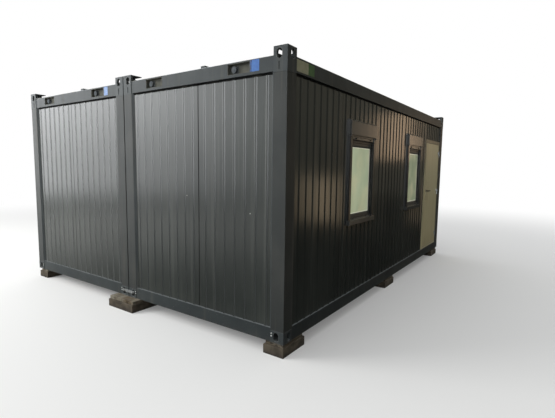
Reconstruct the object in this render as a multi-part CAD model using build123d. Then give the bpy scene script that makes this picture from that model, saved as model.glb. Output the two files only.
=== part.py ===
from build123d import *
import math
import os

os.makedirs("parts", exist_ok=True)

# Frame: X runs along the length of the cabin, Y across it, Z up.
# The front long side, with the windows and the door, faces -Y.
# The origin is on the ground, at the middle of the centre support.
# Two equal steel modules stand side by side: "near" is at -Y and "far" at +Y.

# Sizes of one module
MODULE_LENGTH = 6058
MODULE_WIDTH = 2438
MODULE_HEIGHT = 2800
JOINT_GAP = 10

# Supports
BLOCK_HEIGHT = 98
PACKER_HEIGHT = 42
BLOCK_LENGTH = 400
CORNER_BLOCK_WIDTH = 240
JOINT_BLOCK_WIDTH = 500
BLOCK_INSET = 8
JOINT_BLOCK_OVERHANG = 130
BLOCK_BEVEL = 8
PACKER_INSET = 12

# Corner castings
CASTING_SIDE = 155
CASTING_HEIGHT = 118
CASTING_WALL = 14
CASTING_EDGE = 5
HOLE_WIDTH = 60
HOLE_LENGTH = 90
HOLE_FROM_CORNER = 90
HOLE_BEVEL = 22
UNDER_HOLE_LENGTH = 100
HEAD_WALL = 28
HEAD_FLOOR = 6
HEAD_PLATE = 8
HEAD_HOLE_DROP = 66
HEAD_INNER_DROP = 50
NECK_HEIGHT = 112
SLOT_WIDTH = 14
SLOT_LENGTH = 76
SLOT_DEPTH = 5
SLOT_BEVEL = 4.5

# Posts and rails
POST_SIDE = 155
POST_DEPTH = 85
POST_REVEAL = 2
RAIL_HEIGHT = 140
RAIL_DEPTH = 60
RAIL_WALL = 4
RAIL_REVEAL = 5
TOP_RAIL_DROP = 80

# Floor
JOIST_HEIGHT = 130
JOIST_WIDTH = 50
JOIST_WALL = 4
JOIST_COUNT = 9
FLOOR_THICKNESS = 22
UNDERFLOOR_SHEET = 2

# Ceiling and roof
CEILING_THICKNESS = 30
ROOF_SHEET = 3
ROOF_SEAM_WIDTH = 40
ROOF_SEAM_HEIGHT = 25
ROOF_SEAM_COUNT = 5
FLASHING_GAP = 0.3
ROOF_CAP_WIDTH = 63
ROOF_CAP_HEIGHT = 78
ROOF_CAP_LENGTH = 90
ROOF_CAP_FROM_END = 160

# Sandwich panels of the walls
PANEL_COVER = 1146
PANEL_THICKNESS = 60
PANEL_SETBACK = 25
PANEL_START_END = 12
CUT_MARGIN = 1
SEAM_GAP = 1
SEAM_BEVEL = 3
RIB_FIRST = 88
RIB_PITCH = 137.5
RIB_COUNT = 8
RIB_BASE = 38
RIB_CROWN = 20
RIB_HEIGHT = 9
HEAD_SEAL_HEIGHT = 23
HEAD_SEAL_SETBACK = 35
HEAD_SEAL_THICKNESS = 40

# Windows
WINDOW_WIDTH = 810
WINDOW_FROM_SEAM = 573
PANEL_COUNTS_TO_WINDOWS = (3, 1)
WINDOW_BOTTOM = 1009
SHUTTER_BOX_BOTTOM = 2108
SHUTTER_BOX_TOP = 2292
WINDOW_OPENING_INSET = 8
FRAME_FACE = 30
FRAME_FOOT_FACE = 64
FRAME_HEAD_FACE = 88
FRAME_DEPTH = 66
FRAME_PROUD = 4
SASH_FACE = 46
SASH_DEPTH = 50
SASH_SETBACK = 4
PANE_THICKNESS = 24
PANE_SETBACK = 10
GUIDE_WIDTH = 52
GUIDE_PROUD = 34
GUIDE_SLOT_WIDTH = 12
GUIDE_SLOT_DEPTH = 22
SHUTTER_BOX_PROUD = 44
SHUTTER_BOX_DEPTH = 104
SHUTTER_BOX_WALL = 12
SHUTTER_BOX_END = 16
SHUTTER_BOX_HOOK = 22
SHUTTER_SLOT_CLEARANCE = 1
SLAT_COUNT = 2
SLAT_HEIGHT = 34
SLAT_THICKNESS = 10
SLAT_BEVEL = 3
SLAT_IN_GUIDE = 18
SILL_PROUD = 52
SILL_HEIGHT = 60
SILL_SLOPE = 6

# Door, against the right post
DOOR_WIDTH = 1066
DOOR_STRIP = 199.5
DOOR_FRAME_FACE = 60
DOOR_FRAME_TOP = 2272
DOOR_SILL_HEIGHT = 25
DOOR_FRAME_SETBACK = 15
DOOR_STOP_WIDTH = 15
LEAF_THICKNESS = 45
LEAF_SETBACK = 2
LEAF_GAP_HINGE = 5
LEAF_GAP_LOCK = 8
LEAF_GAP_TOP = 6
LEAF_GAP_BOTTOM = 7
LEAF_STOP_GAP = 5

# Door hinges
HINGE_HEIGHTS = (330, 1230, 2010)
HINGE_RADIUS = 9
HINGE_PIN_RADIUS = 5
HINGE_PIN_CLEARANCE = 0.3
HINGE_BARREL = 55
HINGE_PLATE = 3
HINGE_PLATE_WIDTH = 42
HINGE_STANDOFF = 11

# Door handle
HANDLE_HEIGHT = 1284
HANDLE_BACKSET = 52
ROSETTE_WIDTH = 42
ROSETTE_HEIGHT = 220
ROSETTE_DROP = 35
ROSETTE_THICKNESS = 8
ROSETTE_BEVEL = 12
SPINDLE_RADIUS = 7
SPINDLE_CLEARANCE = 1
LEVER_RADIUS = 10
LEVER_NECK = 46
LEVER_LENGTH = 125
LEVER_WIDTH = 20
LEVER_BEVEL = 5
LEVER_CLEARANCE = 0.3
KEYHOLE_DROP = 72
KEYHOLE_RADIUS = 9
KEYHOLE_PROUD = 4

# Electrical inlets in the end rails
INLET_WIDTH = 284
INLET_HEIGHT = 104
INLET_FROM_EDGE = 436
INLET_DEPTH = 52
INLET_WALL = 3
INLET_RAIL_MARGIN = 27
SOCKET_RADIUS = 31
SOCKET_LENGTH = 34
SOCKET_OFFSET = 75

# Joint between the modules
CLAMP_LENGTH = 220
CLAMP_HEIGHT = 34
CLAMP_THICKNESS = 8
CLAMP_LEVEL = 70
CLAMP_BOLT_RADIUS = 13
CLAMP_BOLT_HEAD = 10
SEAL_INSET = 14
SEAL_DEPTH = 30
COVER_WIDTH = 170
COVER_THICKNESS = 3
TRIM_WIDTH = 90
TRIM_THICKNESS = 3

# Levels and planes that follow from the sizes
GROUND_TO_MODULE = BLOCK_HEIGHT + PACKER_HEIGHT
HALF_LENGTH = MODULE_LENGTH / 2
HALF_WIDTH = MODULE_WIDTH + JOINT_GAP / 2
HALF_GAP = JOINT_GAP / 2
POST_BOTTOM = CASTING_HEIGHT
CASTING_TOP_BOTTOM = MODULE_HEIGHT - CASTING_HEIGHT
POST_TOP = CASTING_TOP_BOTTOM - NECK_HEIGHT
TOP_RAIL_TOP = MODULE_HEIGHT - TOP_RAIL_DROP
TOP_RAIL_BOTTOM = TOP_RAIL_TOP - RAIL_HEIGHT
PANEL_BOTTOM = RAIL_HEIGHT
PANEL_TOP = TOP_RAIL_BOTTOM - HEAD_SEAL_HEIGHT
WALL_INNER = PANEL_SETBACK + PANEL_THICKNESS
FLOOR_TOP = RAIL_HEIGHT + FLOOR_THICKNESS
CEILING_BOTTOM = TOP_RAIL_BOTTOM - CEILING_THICKNESS
DOOR_END = MODULE_LENGTH - POST_SIDE + SEAM_GAP / 2
DOOR_START = DOOR_END - DOOR_WIDTH
STRIP_START = DOOR_START - DOOR_STRIP
PANELS_BEFORE_STRIP = math.ceil((STRIP_START - POST_SIDE) / PANEL_COVER)
PANELS_PAST_STRIP = math.ceil((MODULE_LENGTH - POST_SIDE - STRIP_START) / PANEL_COVER)
END_PANEL_COUNT = math.ceil((MODULE_WIDTH - POST_SIDE - PANEL_START_END) / PANEL_COVER)
WINDOW_STARTS = [
    STRIP_START - count * PANEL_COVER + WINDOW_FROM_SEAM - WINDOW_WIDTH / 2
    for count in PANEL_COUNTS_TO_WINDOWS
]


def block(x_span, y_span, z_span):
    """A box between pairs of limits, with heights measured from the module's underside."""
    size = [abs(span[1] - span[0]) for span in (x_span, y_span, z_span)]
    middle = [(span[0] + span[1]) / 2 for span in (x_span, y_span, z_span)]
    return Pos(*middle) * Box(*size)


def write(name, solids):
    """Lift the solids onto the supports and write them as one named piece."""
    lifted = [Pos(0, 0, GROUND_TO_MODULE) * solid for solid in solids]
    export_step(Compound(children=lifted) if len(lifted) > 1 else lifted[0], f"parts/{name}.step")


def other_end(solids):
    """The same solids at the other end of the cabin."""
    return [mirror(solid, about=Plane.YZ) for solid in solids]


def other_side(solids):
    """The same solids on the other module."""
    return [mirror(solid, about=Plane.XZ) for solid in solids]


def beside(solids):
    """The same solids on the far module, turned the same way."""
    return [Pos(0, MODULE_WIDTH + JOINT_GAP, 0) * solid for solid in solids]


def across_module(solid):
    """A solid of the near module's outer side, mirrored to its joint side."""
    middle = -(HALF_GAP + MODULE_WIDTH / 2)
    return Pos(0, 2 * middle, 0) * mirror(solid, about=Plane.XZ)


def at_module_corners(solid, joint_solid=None):
    """Solids made at the left outer corner, at all corners of the module, with another form at the joint."""
    pair = [solid, across_module(joint_solid or solid)]
    return pair + other_end(pair)


def to_corner(solid):
    """Move a solid made at the origin to the near module's left outer corner."""
    return Pos(-HALF_LENGTH, -HALF_WIDTH, 0) * solid


# Supports: concrete blocks with a timber packer on each, three by three
def support_places():
    """Centres and widths of the nine supports."""
    end_middle = HALF_LENGTH - BLOCK_LENGTH / 2 - BLOCK_INSET
    joint_end_middle = HALF_LENGTH + JOINT_BLOCK_OVERHANG - BLOCK_LENGTH / 2
    side_middle = HALF_WIDTH - CORNER_BLOCK_WIDTH / 2 - BLOCK_INSET
    places = []
    for x_step in (-1, 0, 1):
        places.append((x_step * joint_end_middle, 0, JOINT_BLOCK_WIDTH))
        for y_step in (-1, 1):
            places.append((x_step * end_middle, y_step * side_middle, CORNER_BLOCK_WIDTH))
    return places


def support_block(x, y, width):
    solid = Pos(x, y, 0) * block(
        (-BLOCK_LENGTH / 2, BLOCK_LENGTH / 2), (-width / 2, width / 2), (-GROUND_TO_MODULE, -PACKER_HEIGHT)
    )
    return chamfer(solid.edges().group_by(Axis.Z)[-1], BLOCK_BEVEL)


def timber_packer(x, y, width):
    half_length = BLOCK_LENGTH / 2 - PACKER_INSET
    half_width = width / 2 - PACKER_INSET
    return Pos(x, y, 0) * block((-half_length, half_length), (-half_width, half_width), (-PACKER_HEIGHT, 0))


write("support_blocks", [support_block(*place) for place in support_places()])
write("timber_packers", [timber_packer(*place) for place in support_places()])


# Corner castings: hollow boxes with a stadium hole in each outer face, cast thick for hooks and locks
def stadium(length, width, depth):
    """A stadium prism along Z, with its long axis along X."""
    return extrude(SlotOverall(length, width), amount=depth / 2, both=True)


def bevelled_slot(length, width, depth, bevel):
    """A slot with bevelled corners along Z, with its long axis along X, for the faces that nothing shows."""
    slot = Box(length, width, depth)
    return chamfer(slot.edges().filter_by(Axis.Z), bevel)


def casting_box(wall, floor, roof):
    """A hollow box with its outer corner at the origin, thick outer walls and a rounded corner edge."""
    inner = CASTING_SIDE - CASTING_WALL
    shell = block((0, CASTING_SIDE), (0, CASTING_SIDE), (0, CASTING_HEIGHT))
    shell = fillet(shell.edges().filter_by(Axis.Z).sort_by(Axis.X)[0:1], CASTING_EDGE)
    return shell - block((wall, inner), (wall, inner), (floor, CASTING_HEIGHT - roof))


def casting_holes(wall, level, at_joint):
    """The holes in the end face and the side face of a casting, with their middle at the given level."""
    hole = stadium(HOLE_LENGTH, HOLE_WIDTH, 2 * wall)
    side_hole = bevelled_slot(HOLE_LENGTH, HOLE_WIDTH, 2 * wall, HOLE_BEVEL) if at_joint else hole
    end = Pos(0, HOLE_FROM_CORNER, level) * Rotation(0, 90, 0) * hole
    side = Pos(HOLE_FROM_CORNER, 0, level) * Rotation(0, 0, 90) * Rotation(0, 90, 0) * side_hole
    return end + side


def bottom_casting(at_joint=False):
    """A bottom casting with its outer corner at the origin, closed above and with a slot below."""
    shell = casting_box(CASTING_WALL, CASTING_WALL, CASTING_WALL)
    shell -= casting_holes(CASTING_WALL, CASTING_HEIGHT / 2, at_joint)
    below = bevelled_slot(UNDER_HOLE_LENGTH, HOLE_WIDTH, 2 * CASTING_WALL, HOLE_BEVEL)
    return shell - Pos(CASTING_SIDE / 2, CASTING_SIDE / 2, 0) * below


def angle_column(bottom, top, reveal=0):
    """An L-shaped column with its outer corner at the origin."""
    outline = Polyline(
        (reveal, reveal),
        (POST_SIDE, reveal),
        (POST_SIDE, POST_DEPTH),
        (POST_DEPTH, POST_DEPTH),
        (POST_DEPTH, POST_SIDE),
        (reveal, POST_SIDE),
        close=True,
    )
    column = Pos(0, 0, bottom) * extrude(make_face(outline), amount=top - bottom)
    corner = column.edges().filter_by(Axis.Z).sort_by(SortBy.DISTANCE)[0]
    return fillet(corner, CASTING_EDGE - reveal)


def head_casting(at_joint=False):
    """A top casting on the corner neck, with a gap between its low inner walls and its lid."""
    box = casting_box(HEAD_WALL, HEAD_FLOOR, HEAD_PLATE)
    box -= casting_holes(HEAD_WALL, CASTING_HEIGHT - HEAD_HOLE_DROP, at_joint)
    plate_bottom = CASTING_HEIGHT - HEAD_PLATE
    inner_walls = (HEAD_WALL, CASTING_SIDE)
    box -= block(inner_walls, inner_walls, (CASTING_HEIGHT - HEAD_INNER_DROP, plate_bottom))
    head = Pos(0, 0, CASTING_TOP_BOTTOM) * box + angle_column(POST_TOP, CASTING_TOP_BOTTOM)
    slot = Rotation(0, 90, 0) * bevelled_slot(SLOT_LENGTH, SLOT_WIDTH, 2 * SLOT_DEPTH, SLOT_BEVEL)
    return head - Pos(0, HOLE_FROM_CORNER, POST_TOP + NECK_HEIGHT / 2) * slot


bottom_castings = at_module_corners(to_corner(bottom_casting()), to_corner(bottom_casting(at_joint=True)))
top_castings = at_module_corners(to_corner(head_casting()), to_corner(head_casting(at_joint=True)))
posts = at_module_corners(to_corner(angle_column(POST_BOTTOM, POST_TOP, POST_REVEAL)))
write("near_bottom_castings", bottom_castings)
write("far_bottom_castings", other_side(bottom_castings))
write("near_top_castings", top_castings)
write("far_top_castings", other_side(top_castings))
write("near_posts", posts)
write("far_posts", other_side(posts))


# Rails: channels between the castings, open towards the inside of the module
def channel(length, height, depth, wall):
    """A channel along X from the origin, with its web on the XZ plane and its flanges towards +Y."""
    outer = block((0, length), (0, depth), (0, height))
    return outer - block((0, length), (wall, depth), (wall, height - wall))


def turned(solid):
    """Swap X and Y, so that a piece made along the side runs along the end."""
    return mirror(Rotation(0, 0, -90) * solid, about=Plane.XZ)


SIDE_RAIL_LENGTH = MODULE_LENGTH - 2 * CASTING_SIDE
END_RAIL_LENGTH = MODULE_WIDTH - 2 * CASTING_SIDE


def side_rails(level):
    """The outer and the inner long rail of the near module."""
    rail = channel(SIDE_RAIL_LENGTH, RAIL_HEIGHT, RAIL_DEPTH, RAIL_WALL)
    outer = Pos(-SIDE_RAIL_LENGTH / 2, -HALF_WIDTH + RAIL_REVEAL, level) * rail
    return [outer, across_module(outer)]


def end_rail(level):
    """The left end rail of the near module."""
    rail = turned(channel(END_RAIL_LENGTH, RAIL_HEIGHT, RAIL_DEPTH, RAIL_WALL))
    return Pos(-HALF_LENGTH + RAIL_REVEAL, -HALF_WIDTH + CASTING_SIDE, level) * rail


def inlet_starts():
    """Where the two electrical inlets of the near module start, measured from the outer corner."""
    return (INLET_FROM_EDGE, MODULE_WIDTH - INLET_FROM_EDGE - INLET_WIDTH)


def inlet_place(start):
    return Pos(-HALF_LENGTH + RAIL_REVEAL, -HALF_WIDTH + start, TOP_RAIL_BOTTOM + INLET_RAIL_MARGIN)


def inlet_opening(start):
    """The cut in the end rail's web for one inlet box."""
    cut = block((-RAIL_WALL, RAIL_DEPTH / 2), (0, INLET_WIDTH), (0, INLET_HEIGHT))
    return inlet_place(start) * cut


left_bottom_rail = end_rail(0)
left_top_rail = end_rail(TOP_RAIL_BOTTOM)
right_top_rail = other_end([left_top_rail])[0]
for inlet_start in inlet_starts():
    left_top_rail -= inlet_opening(inlet_start)
bottom_rails = side_rails(0) + [left_bottom_rail] + other_end([left_bottom_rail])
top_rails = side_rails(TOP_RAIL_BOTTOM) + [left_top_rail, right_top_rail]
write("near_bottom_rails", bottom_rails)
write("far_bottom_rails", other_side(bottom_rails))
write("near_top_rails", top_rails)
write("far_top_rails", other_side(top_rails))


# Electrical inlets: open boxes set in the left end rails, with a round socket in each
def inlet_box(start):
    box = block((0, INLET_DEPTH), (0, INLET_WIDTH), (0, INLET_HEIGHT))
    hollow = block(
        (-INLET_WALL, INLET_DEPTH - INLET_WALL),
        (INLET_WALL, INLET_WIDTH - INLET_WALL),
        (INLET_WALL, INLET_HEIGHT - INLET_WALL),
    )
    return inlet_place(start) * (box - hollow)


def inlet_socket(start):
    """A round socket on the back of an inlet box."""
    barrel = Rotation(0, -90, 0) * Cylinder(
        SOCKET_RADIUS, SOCKET_LENGTH, align=(Align.CENTER, Align.CENTER, Align.MIN)
    )
    seat = Pos(INLET_DEPTH - INLET_WALL, INLET_WIDTH / 2 + SOCKET_OFFSET, INLET_HEIGHT / 2)
    return inlet_place(start) * seat * barrel


inlet_boxes = [inlet_box(start) for start in inlet_starts()]
inlet_sockets = [inlet_socket(start) for start in inlet_starts()]
write("inlet_boxes", inlet_boxes + beside(inlet_boxes))
write("inlet_sockets", inlet_sockets + beside(inlet_sockets))


# Floor: channel joists between the side rails, a sheet under them and boards on top
JOIST_SPAN = MODULE_WIDTH - 2 * (RAIL_REVEAL + RAIL_DEPTH)
JOIST_START = -HALF_WIDTH + RAIL_REVEAL + RAIL_DEPTH
JOIST_BOTTOM = RAIL_HEIGHT - JOIST_HEIGHT


def joist(x):
    rail = turned(channel(JOIST_SPAN, JOIST_HEIGHT, JOIST_WIDTH, JOIST_WALL))
    return Pos(x - JOIST_WIDTH / 2, JOIST_START, JOIST_BOTTOM) * rail


def without_posts(plate):
    """Cut the near module's posts and necks out of a plate."""
    for column in at_module_corners(to_corner(angle_column(POST_BOTTOM, CASTING_TOP_BOTTOM))):
        plate -= column
    return plate


def room_plate(bottom, top):
    """A plate over the inside of the near module, up to the joint."""
    reach = HALF_LENGTH - WALL_INNER
    plate = block((-reach, reach), (-HALF_WIDTH + WALL_INNER, -HALF_GAP - RAIL_REVEAL), (bottom, top))
    return without_posts(plate)


joist_pitch = (SIDE_RAIL_LENGTH - 2 * CASTING_SIDE) / (JOIST_COUNT - 1)
joists = [joist((number - (JOIST_COUNT - 1) / 2) * joist_pitch) for number in range(JOIST_COUNT)]
write("floor_joists", joists + other_side(joists))
sheet_reach = HALF_LENGTH - RAIL_REVEAL - RAIL_DEPTH
underfloor = block(
    (-sheet_reach + CASTING_SIDE, sheet_reach - CASTING_SIDE),
    (JOIST_START, JOIST_START + JOIST_SPAN),
    (JOIST_BOTTOM - UNDERFLOOR_SHEET, JOIST_BOTTOM),
)
write("underfloor_sheets", [underfloor] + other_side([underfloor]))
floor = room_plate(RAIL_HEIGHT, FLOOR_TOP)
write("near_floor", [floor])
write("far_floor", other_side([floor]))
ceiling = room_plate(CEILING_BOTTOM, TOP_RAIL_BOTTOM)
write("ceiling_panels", [ceiling] + other_side([ceiling]))


# Roof: a folded sheet with standing seams on the top rails, end flashings between the castings and end caps
ROOF_OUTER = -HALF_WIDTH + RAIL_REVEAL
ROOF_INNER = -HALF_GAP - RAIL_REVEAL
ROOF_MIDDLE = (ROOF_OUTER + ROOF_INNER) / 2


def roof_sheet():
    """The near module's sheet, from casting to casting, with its seams along X."""
    half = HALF_LENGTH - CASTING_SIDE - FLASHING_GAP
    sheet = block((-half, half), (ROOF_OUTER, ROOF_INNER), (TOP_RAIL_TOP, TOP_RAIL_TOP + ROOF_SHEET))
    seam_pitch = (ROOF_INNER - ROOF_OUTER) / (ROOF_SEAM_COUNT + 1)
    for number in range(ROOF_SEAM_COUNT):
        y = ROOF_OUTER + (number + 1) * seam_pitch
        sheet += block(
            (-half, half),
            (y - ROOF_SEAM_WIDTH / 2, y + ROOF_SEAM_WIDTH / 2),
            (TOP_RAIL_TOP, TOP_RAIL_TOP + ROOF_SEAM_HEIGHT),
        )
    return sheet


def roof_flashing():
    """The flat strip over the near module's left end rail, between the castings."""
    return block(
        (-HALF_LENGTH + RAIL_REVEAL, -HALF_LENGTH + CASTING_SIDE),
        (-HALF_WIDTH + CASTING_SIDE, -HALF_GAP - CASTING_SIDE),
        (TOP_RAIL_TOP, TOP_RAIL_TOP + ROOF_SHEET),
    )


def roof_end_cap():
    """The cap over the end of the middle seam, near the left end."""
    start = -HALF_LENGTH + ROOF_CAP_FROM_END
    cap = block(
        (start, start + ROOF_CAP_LENGTH),
        (ROOF_MIDDLE - ROOF_CAP_WIDTH / 2, ROOF_MIDDLE + ROOF_CAP_WIDTH / 2),
        (TOP_RAIL_TOP + ROOF_SHEET, TOP_RAIL_TOP + ROOF_CAP_HEIGHT),
    )
    over_seam = block(
        (-HALF_LENGTH, 0),
        (ROOF_MIDDLE - ROOF_SEAM_WIDTH / 2, ROOF_MIDDLE + ROOF_SEAM_WIDTH / 2),
        (TOP_RAIL_TOP, TOP_RAIL_TOP + ROOF_SEAM_HEIGHT),
    )
    return cap - over_seam


flashing = roof_flashing()
near_roof = [roof_sheet(), flashing] + other_end([flashing])
write("near_roof_sheet", near_roof)
write("far_roof_sheet", other_side(near_roof))
near_caps = [roof_end_cap()] + other_end([roof_end_cap()])
write("roof_end_caps", near_caps + other_side(near_caps))


# Walls: sandwich panels with ribs on the outer face, standing on the bottom rails
def panel(start, end, layout_start, bottom=PANEL_BOTTOM, top=PANEL_TOP):
    """A panel along X from start to end, with its flat outer face on the XZ plane and ribs towards -Y."""
    left = start + SEAM_GAP / 2
    right = end - SEAM_GAP / 2
    points = [(left, PANEL_THICKNESS), (left, SEAM_BEVEL), (left + SEAM_BEVEL, 0)]
    for number in range(RIB_COUNT):
        middle = layout_start + RIB_FIRST + number * RIB_PITCH
        if middle - RIB_BASE / 2 > left + SEAM_BEVEL and middle + RIB_BASE / 2 < right - SEAM_BEVEL:
            points += [
                (middle - RIB_BASE / 2, 0),
                (middle - RIB_CROWN / 2, -RIB_HEIGHT),
                (middle + RIB_CROWN / 2, -RIB_HEIGHT),
                (middle + RIB_BASE / 2, 0),
            ]
    points += [(right - SEAM_BEVEL, 0), (right, SEAM_BEVEL), (right, PANEL_THICKNESS)]
    profile = make_face(Polyline(*points, close=True))
    return Pos(0, 0, bottom) * extrude(profile, amount=top - bottom)


def on_front(solid):
    """Place a wall piece, made from the left corner along X, in the front wall."""
    return Pos(-HALF_LENGTH, -HALF_WIDTH + PANEL_SETBACK, 0) * solid


def on_left_end(solid):
    """Place a wall piece, made from the near corner along X, in the left end wall."""
    return Pos(-HALF_LENGTH + PANEL_SETBACK, -HALF_WIDTH, 0) * turned(solid)


def side_panel(number):
    """One full-height panel of a long wall, counted from the strip beside the door."""
    start = STRIP_START + number * PANEL_COVER
    low = max(start, POST_SIDE - SEAM_GAP / 2)
    high = min(start + PANEL_COVER, MODULE_LENGTH - POST_SIDE + SEAM_GAP / 2)
    return on_front(panel(low, high, start))


def end_panel(number):
    """One panel of the near module's left end wall."""
    start = PANEL_START_END + number * PANEL_COVER
    low = max(start, POST_SIDE - SEAM_GAP / 2)
    high = min(start + PANEL_COVER, MODULE_WIDTH - POST_SIDE + SEAM_GAP / 2)
    return on_left_end(panel(low, high, start))


def window_panel(number, window_start):
    """A long-wall panel with the window and its shutter box cut through it."""
    opening = block(
        (window_start + WINDOW_OPENING_INSET, window_start + WINDOW_WIDTH - WINDOW_OPENING_INSET),
        (-2 * RIB_HEIGHT, 2 * PANEL_THICKNESS),
        (WINDOW_BOTTOM + WINDOW_OPENING_INSET, SHUTTER_BOX_TOP - WINDOW_OPENING_INSET),
    )
    box_span = (window_start, window_start + WINDOW_WIDTH)
    box_seat = block(box_span, (-2 * RIB_HEIGHT, 0), (SHUTTER_BOX_BOTTOM, SHUTTER_BOX_TOP))
    return side_panel(number) - on_front(opening) - on_front(box_seat)


plain_numbers = [
    number for number in range(-PANELS_BEFORE_STRIP, 0) if -number not in PANEL_COUNTS_TO_WINDOWS
]
write("front_plain_panels", [side_panel(number) for number in plain_numbers])
window_places = zip(PANEL_COUNTS_TO_WINDOWS, WINDOW_STARTS)
write("window_panels", [window_panel(-count, start) for count, start in window_places])
write("over_door_panel", [on_front(panel(DOOR_START, DOOR_END, DOOR_START, DOOR_FRAME_TOP, PANEL_TOP))])
write("door_side_panel", [on_front(panel(STRIP_START, DOOR_START, STRIP_START))])
left_end_wall = [end_panel(number) for number in range(END_PANEL_COUNT)]
write("near_left_end_wall", left_end_wall)
write("far_left_end_wall", other_side(left_end_wall))
write("near_right_end_wall", other_end(left_end_wall))
write("far_right_end_wall", other_end(other_side(left_end_wall)))
back_numbers = range(-PANELS_BEFORE_STRIP, PANELS_PAST_STRIP)
write("back_wall", other_side([side_panel(number) for number in back_numbers]))


# Head seals: dark strips between the panels and the top rails
def head_seal(length):
    """A strip along X from one post to the other, measured from the corner."""
    return block(
        (POST_SIDE, length - POST_SIDE),
        (HEAD_SEAL_SETBACK - PANEL_SETBACK, HEAD_SEAL_SETBACK - PANEL_SETBACK + HEAD_SEAL_THICKNESS),
        (PANEL_TOP, TOP_RAIL_BOTTOM),
    )


front_seal = on_front(head_seal(MODULE_LENGTH))
left_seal = on_left_end(head_seal(MODULE_WIDTH))
near_seals = [front_seal, left_seal] + other_end([left_seal])
write("head_seals", near_seals + other_side(near_seals))


# Windows: a frame in the panel, a sash with its pane, shutter guides, a shutter box and a sill
FRAME_BOTTOM = WINDOW_BOTTOM + WINDOW_OPENING_INSET
FRAME_WIDTH = WINDOW_WIDTH - 2 * WINDOW_OPENING_INSET


def ring(width, height, side, foot, head, depth):
    """A frame from the origin along X and Z, with its outer face on the XZ plane and four members' faces."""
    outer = block((0, width), (0, depth), (0, height))
    return outer - block((side, width - side), (-depth, 2 * depth), (foot, height - head))


def window_frame(start):
    height = SHUTTER_BOX_BOTTOM - FRAME_BOTTOM
    frame = ring(FRAME_WIDTH, height, FRAME_FACE, FRAME_FOOT_FACE, FRAME_HEAD_FACE, FRAME_DEPTH)
    return Pos(start + WINDOW_OPENING_INSET, -FRAME_PROUD, FRAME_BOTTOM) * frame


SASH_START = WINDOW_OPENING_INSET + FRAME_FACE
SASH_WIDTH = WINDOW_WIDTH - 2 * SASH_START
SASH_BOTTOM = FRAME_BOTTOM + FRAME_FOOT_FACE
SASH_HEIGHT = SHUTTER_BOX_BOTTOM - FRAME_HEAD_FACE - SASH_BOTTOM


def window_sash(start):
    sash = ring(SASH_WIDTH, SASH_HEIGHT, SASH_FACE, SASH_FACE, SASH_FACE, SASH_DEPTH)
    bevel_edges = sash.edges().filter_by(GeomType.LINE).group_by(Axis.Y)[0]
    sash = chamfer(bevel_edges, SASH_SETBACK / 2)
    return Pos(start + SASH_START, SASH_SETBACK, SASH_BOTTOM) * sash


def window_pane(start):
    pane = block(
        (SASH_FACE, SASH_WIDTH - SASH_FACE),
        (PANE_SETBACK, PANE_SETBACK + PANE_THICKNESS),
        (SASH_FACE, SASH_HEIGHT - SASH_FACE),
    )
    return Pos(start + SASH_START, SASH_SETBACK, SASH_BOTTOM) * pane


def shutter_guides(start):
    """Two upright channels in front of the window frame, with a slot for the shutter's edge."""
    guide = block(
        (0, GUIDE_WIDTH), (-GUIDE_PROUD, -FRAME_PROUD), (WINDOW_BOTTOM + SILL_HEIGHT, SHUTTER_BOX_BOTTOM)
    )
    middle = -(GUIDE_PROUD + FRAME_PROUD) / 2
    guide -= block(
        (GUIDE_WIDTH - GUIDE_SLOT_DEPTH, GUIDE_WIDTH),
        (middle - GUIDE_SLOT_WIDTH / 2, middle + GUIDE_SLOT_WIDTH / 2),
        (WINDOW_BOTTOM, SHUTTER_BOX_BOTTOM),
    )
    left = Pos(start + WINDOW_OPENING_INSET, 0, 0) * guide
    middle_of_window = Pos(start + WINDOW_WIDTH / 2, 0, 0)
    right = middle_of_window * mirror(middle_of_window.inverse() * left, about=Plane.YZ)
    return [left, right]


def shutter_box_body():
    """The outer form of a shutter box, with a sloping hood, along X from the origin."""
    top = SHUTTER_BOX_TOP - SHUTTER_BOX_BOTTOM
    section = Polyline(
        (-SHUTTER_BOX_PROUD, 0),
        (-SHUTTER_BOX_PROUD, top - SHUTTER_BOX_PROUD / 2),
        (-RIB_HEIGHT, top),
        (0, top),
        (0, top - WINDOW_OPENING_INSET),
        (SHUTTER_BOX_DEPTH - SHUTTER_BOX_PROUD, top - WINDOW_OPENING_INSET),
        (SHUTTER_BOX_DEPTH - SHUTTER_BOX_PROUD, 0),
        close=True,
    )
    return extrude(Plane.YZ * make_face(section), amount=WINDOW_WIDTH)


def shutter_box(start):
    """A box over the window, trimmed to the opening, with a slot below and a hooked cap at each end."""
    body = shutter_box_body()
    behind = (0, 2 * SHUTTER_BOX_DEPTH)
    tall = (-SHUTTER_BOX_WALL, SHUTTER_BOX_TOP)
    body -= block((0, WINDOW_OPENING_INSET), behind, tall)
    body -= block((WINDOW_WIDTH - WINDOW_OPENING_INSET, WINDOW_WIDTH), behind, tall)
    slot_middle = -(GUIDE_PROUD + FRAME_PROUD) / 2
    slot_half = SLAT_THICKNESS / 2 + SHUTTER_SLOT_CLEARANCE
    slot_edge = WINDOW_OPENING_INSET + GUIDE_WIDTH - SLAT_IN_GUIDE
    slot_length = (slot_edge, WINDOW_WIDTH - slot_edge)
    body -= block(slot_length, (slot_middle - slot_half, slot_middle + slot_half), (0, SHUTTER_BOX_WALL))
    for cap_start in (0, WINDOW_WIDTH - SHUTTER_BOX_END):
        cap = block(
            (cap_start, cap_start + SHUTTER_BOX_END),
            (-SHUTTER_BOX_PROUD, -GUIDE_PROUD),
            (-SHUTTER_BOX_HOOK, 0),
        )
        body += cap
    return Pos(start, 0, SHUTTER_BOX_BOTTOM) * body


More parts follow.
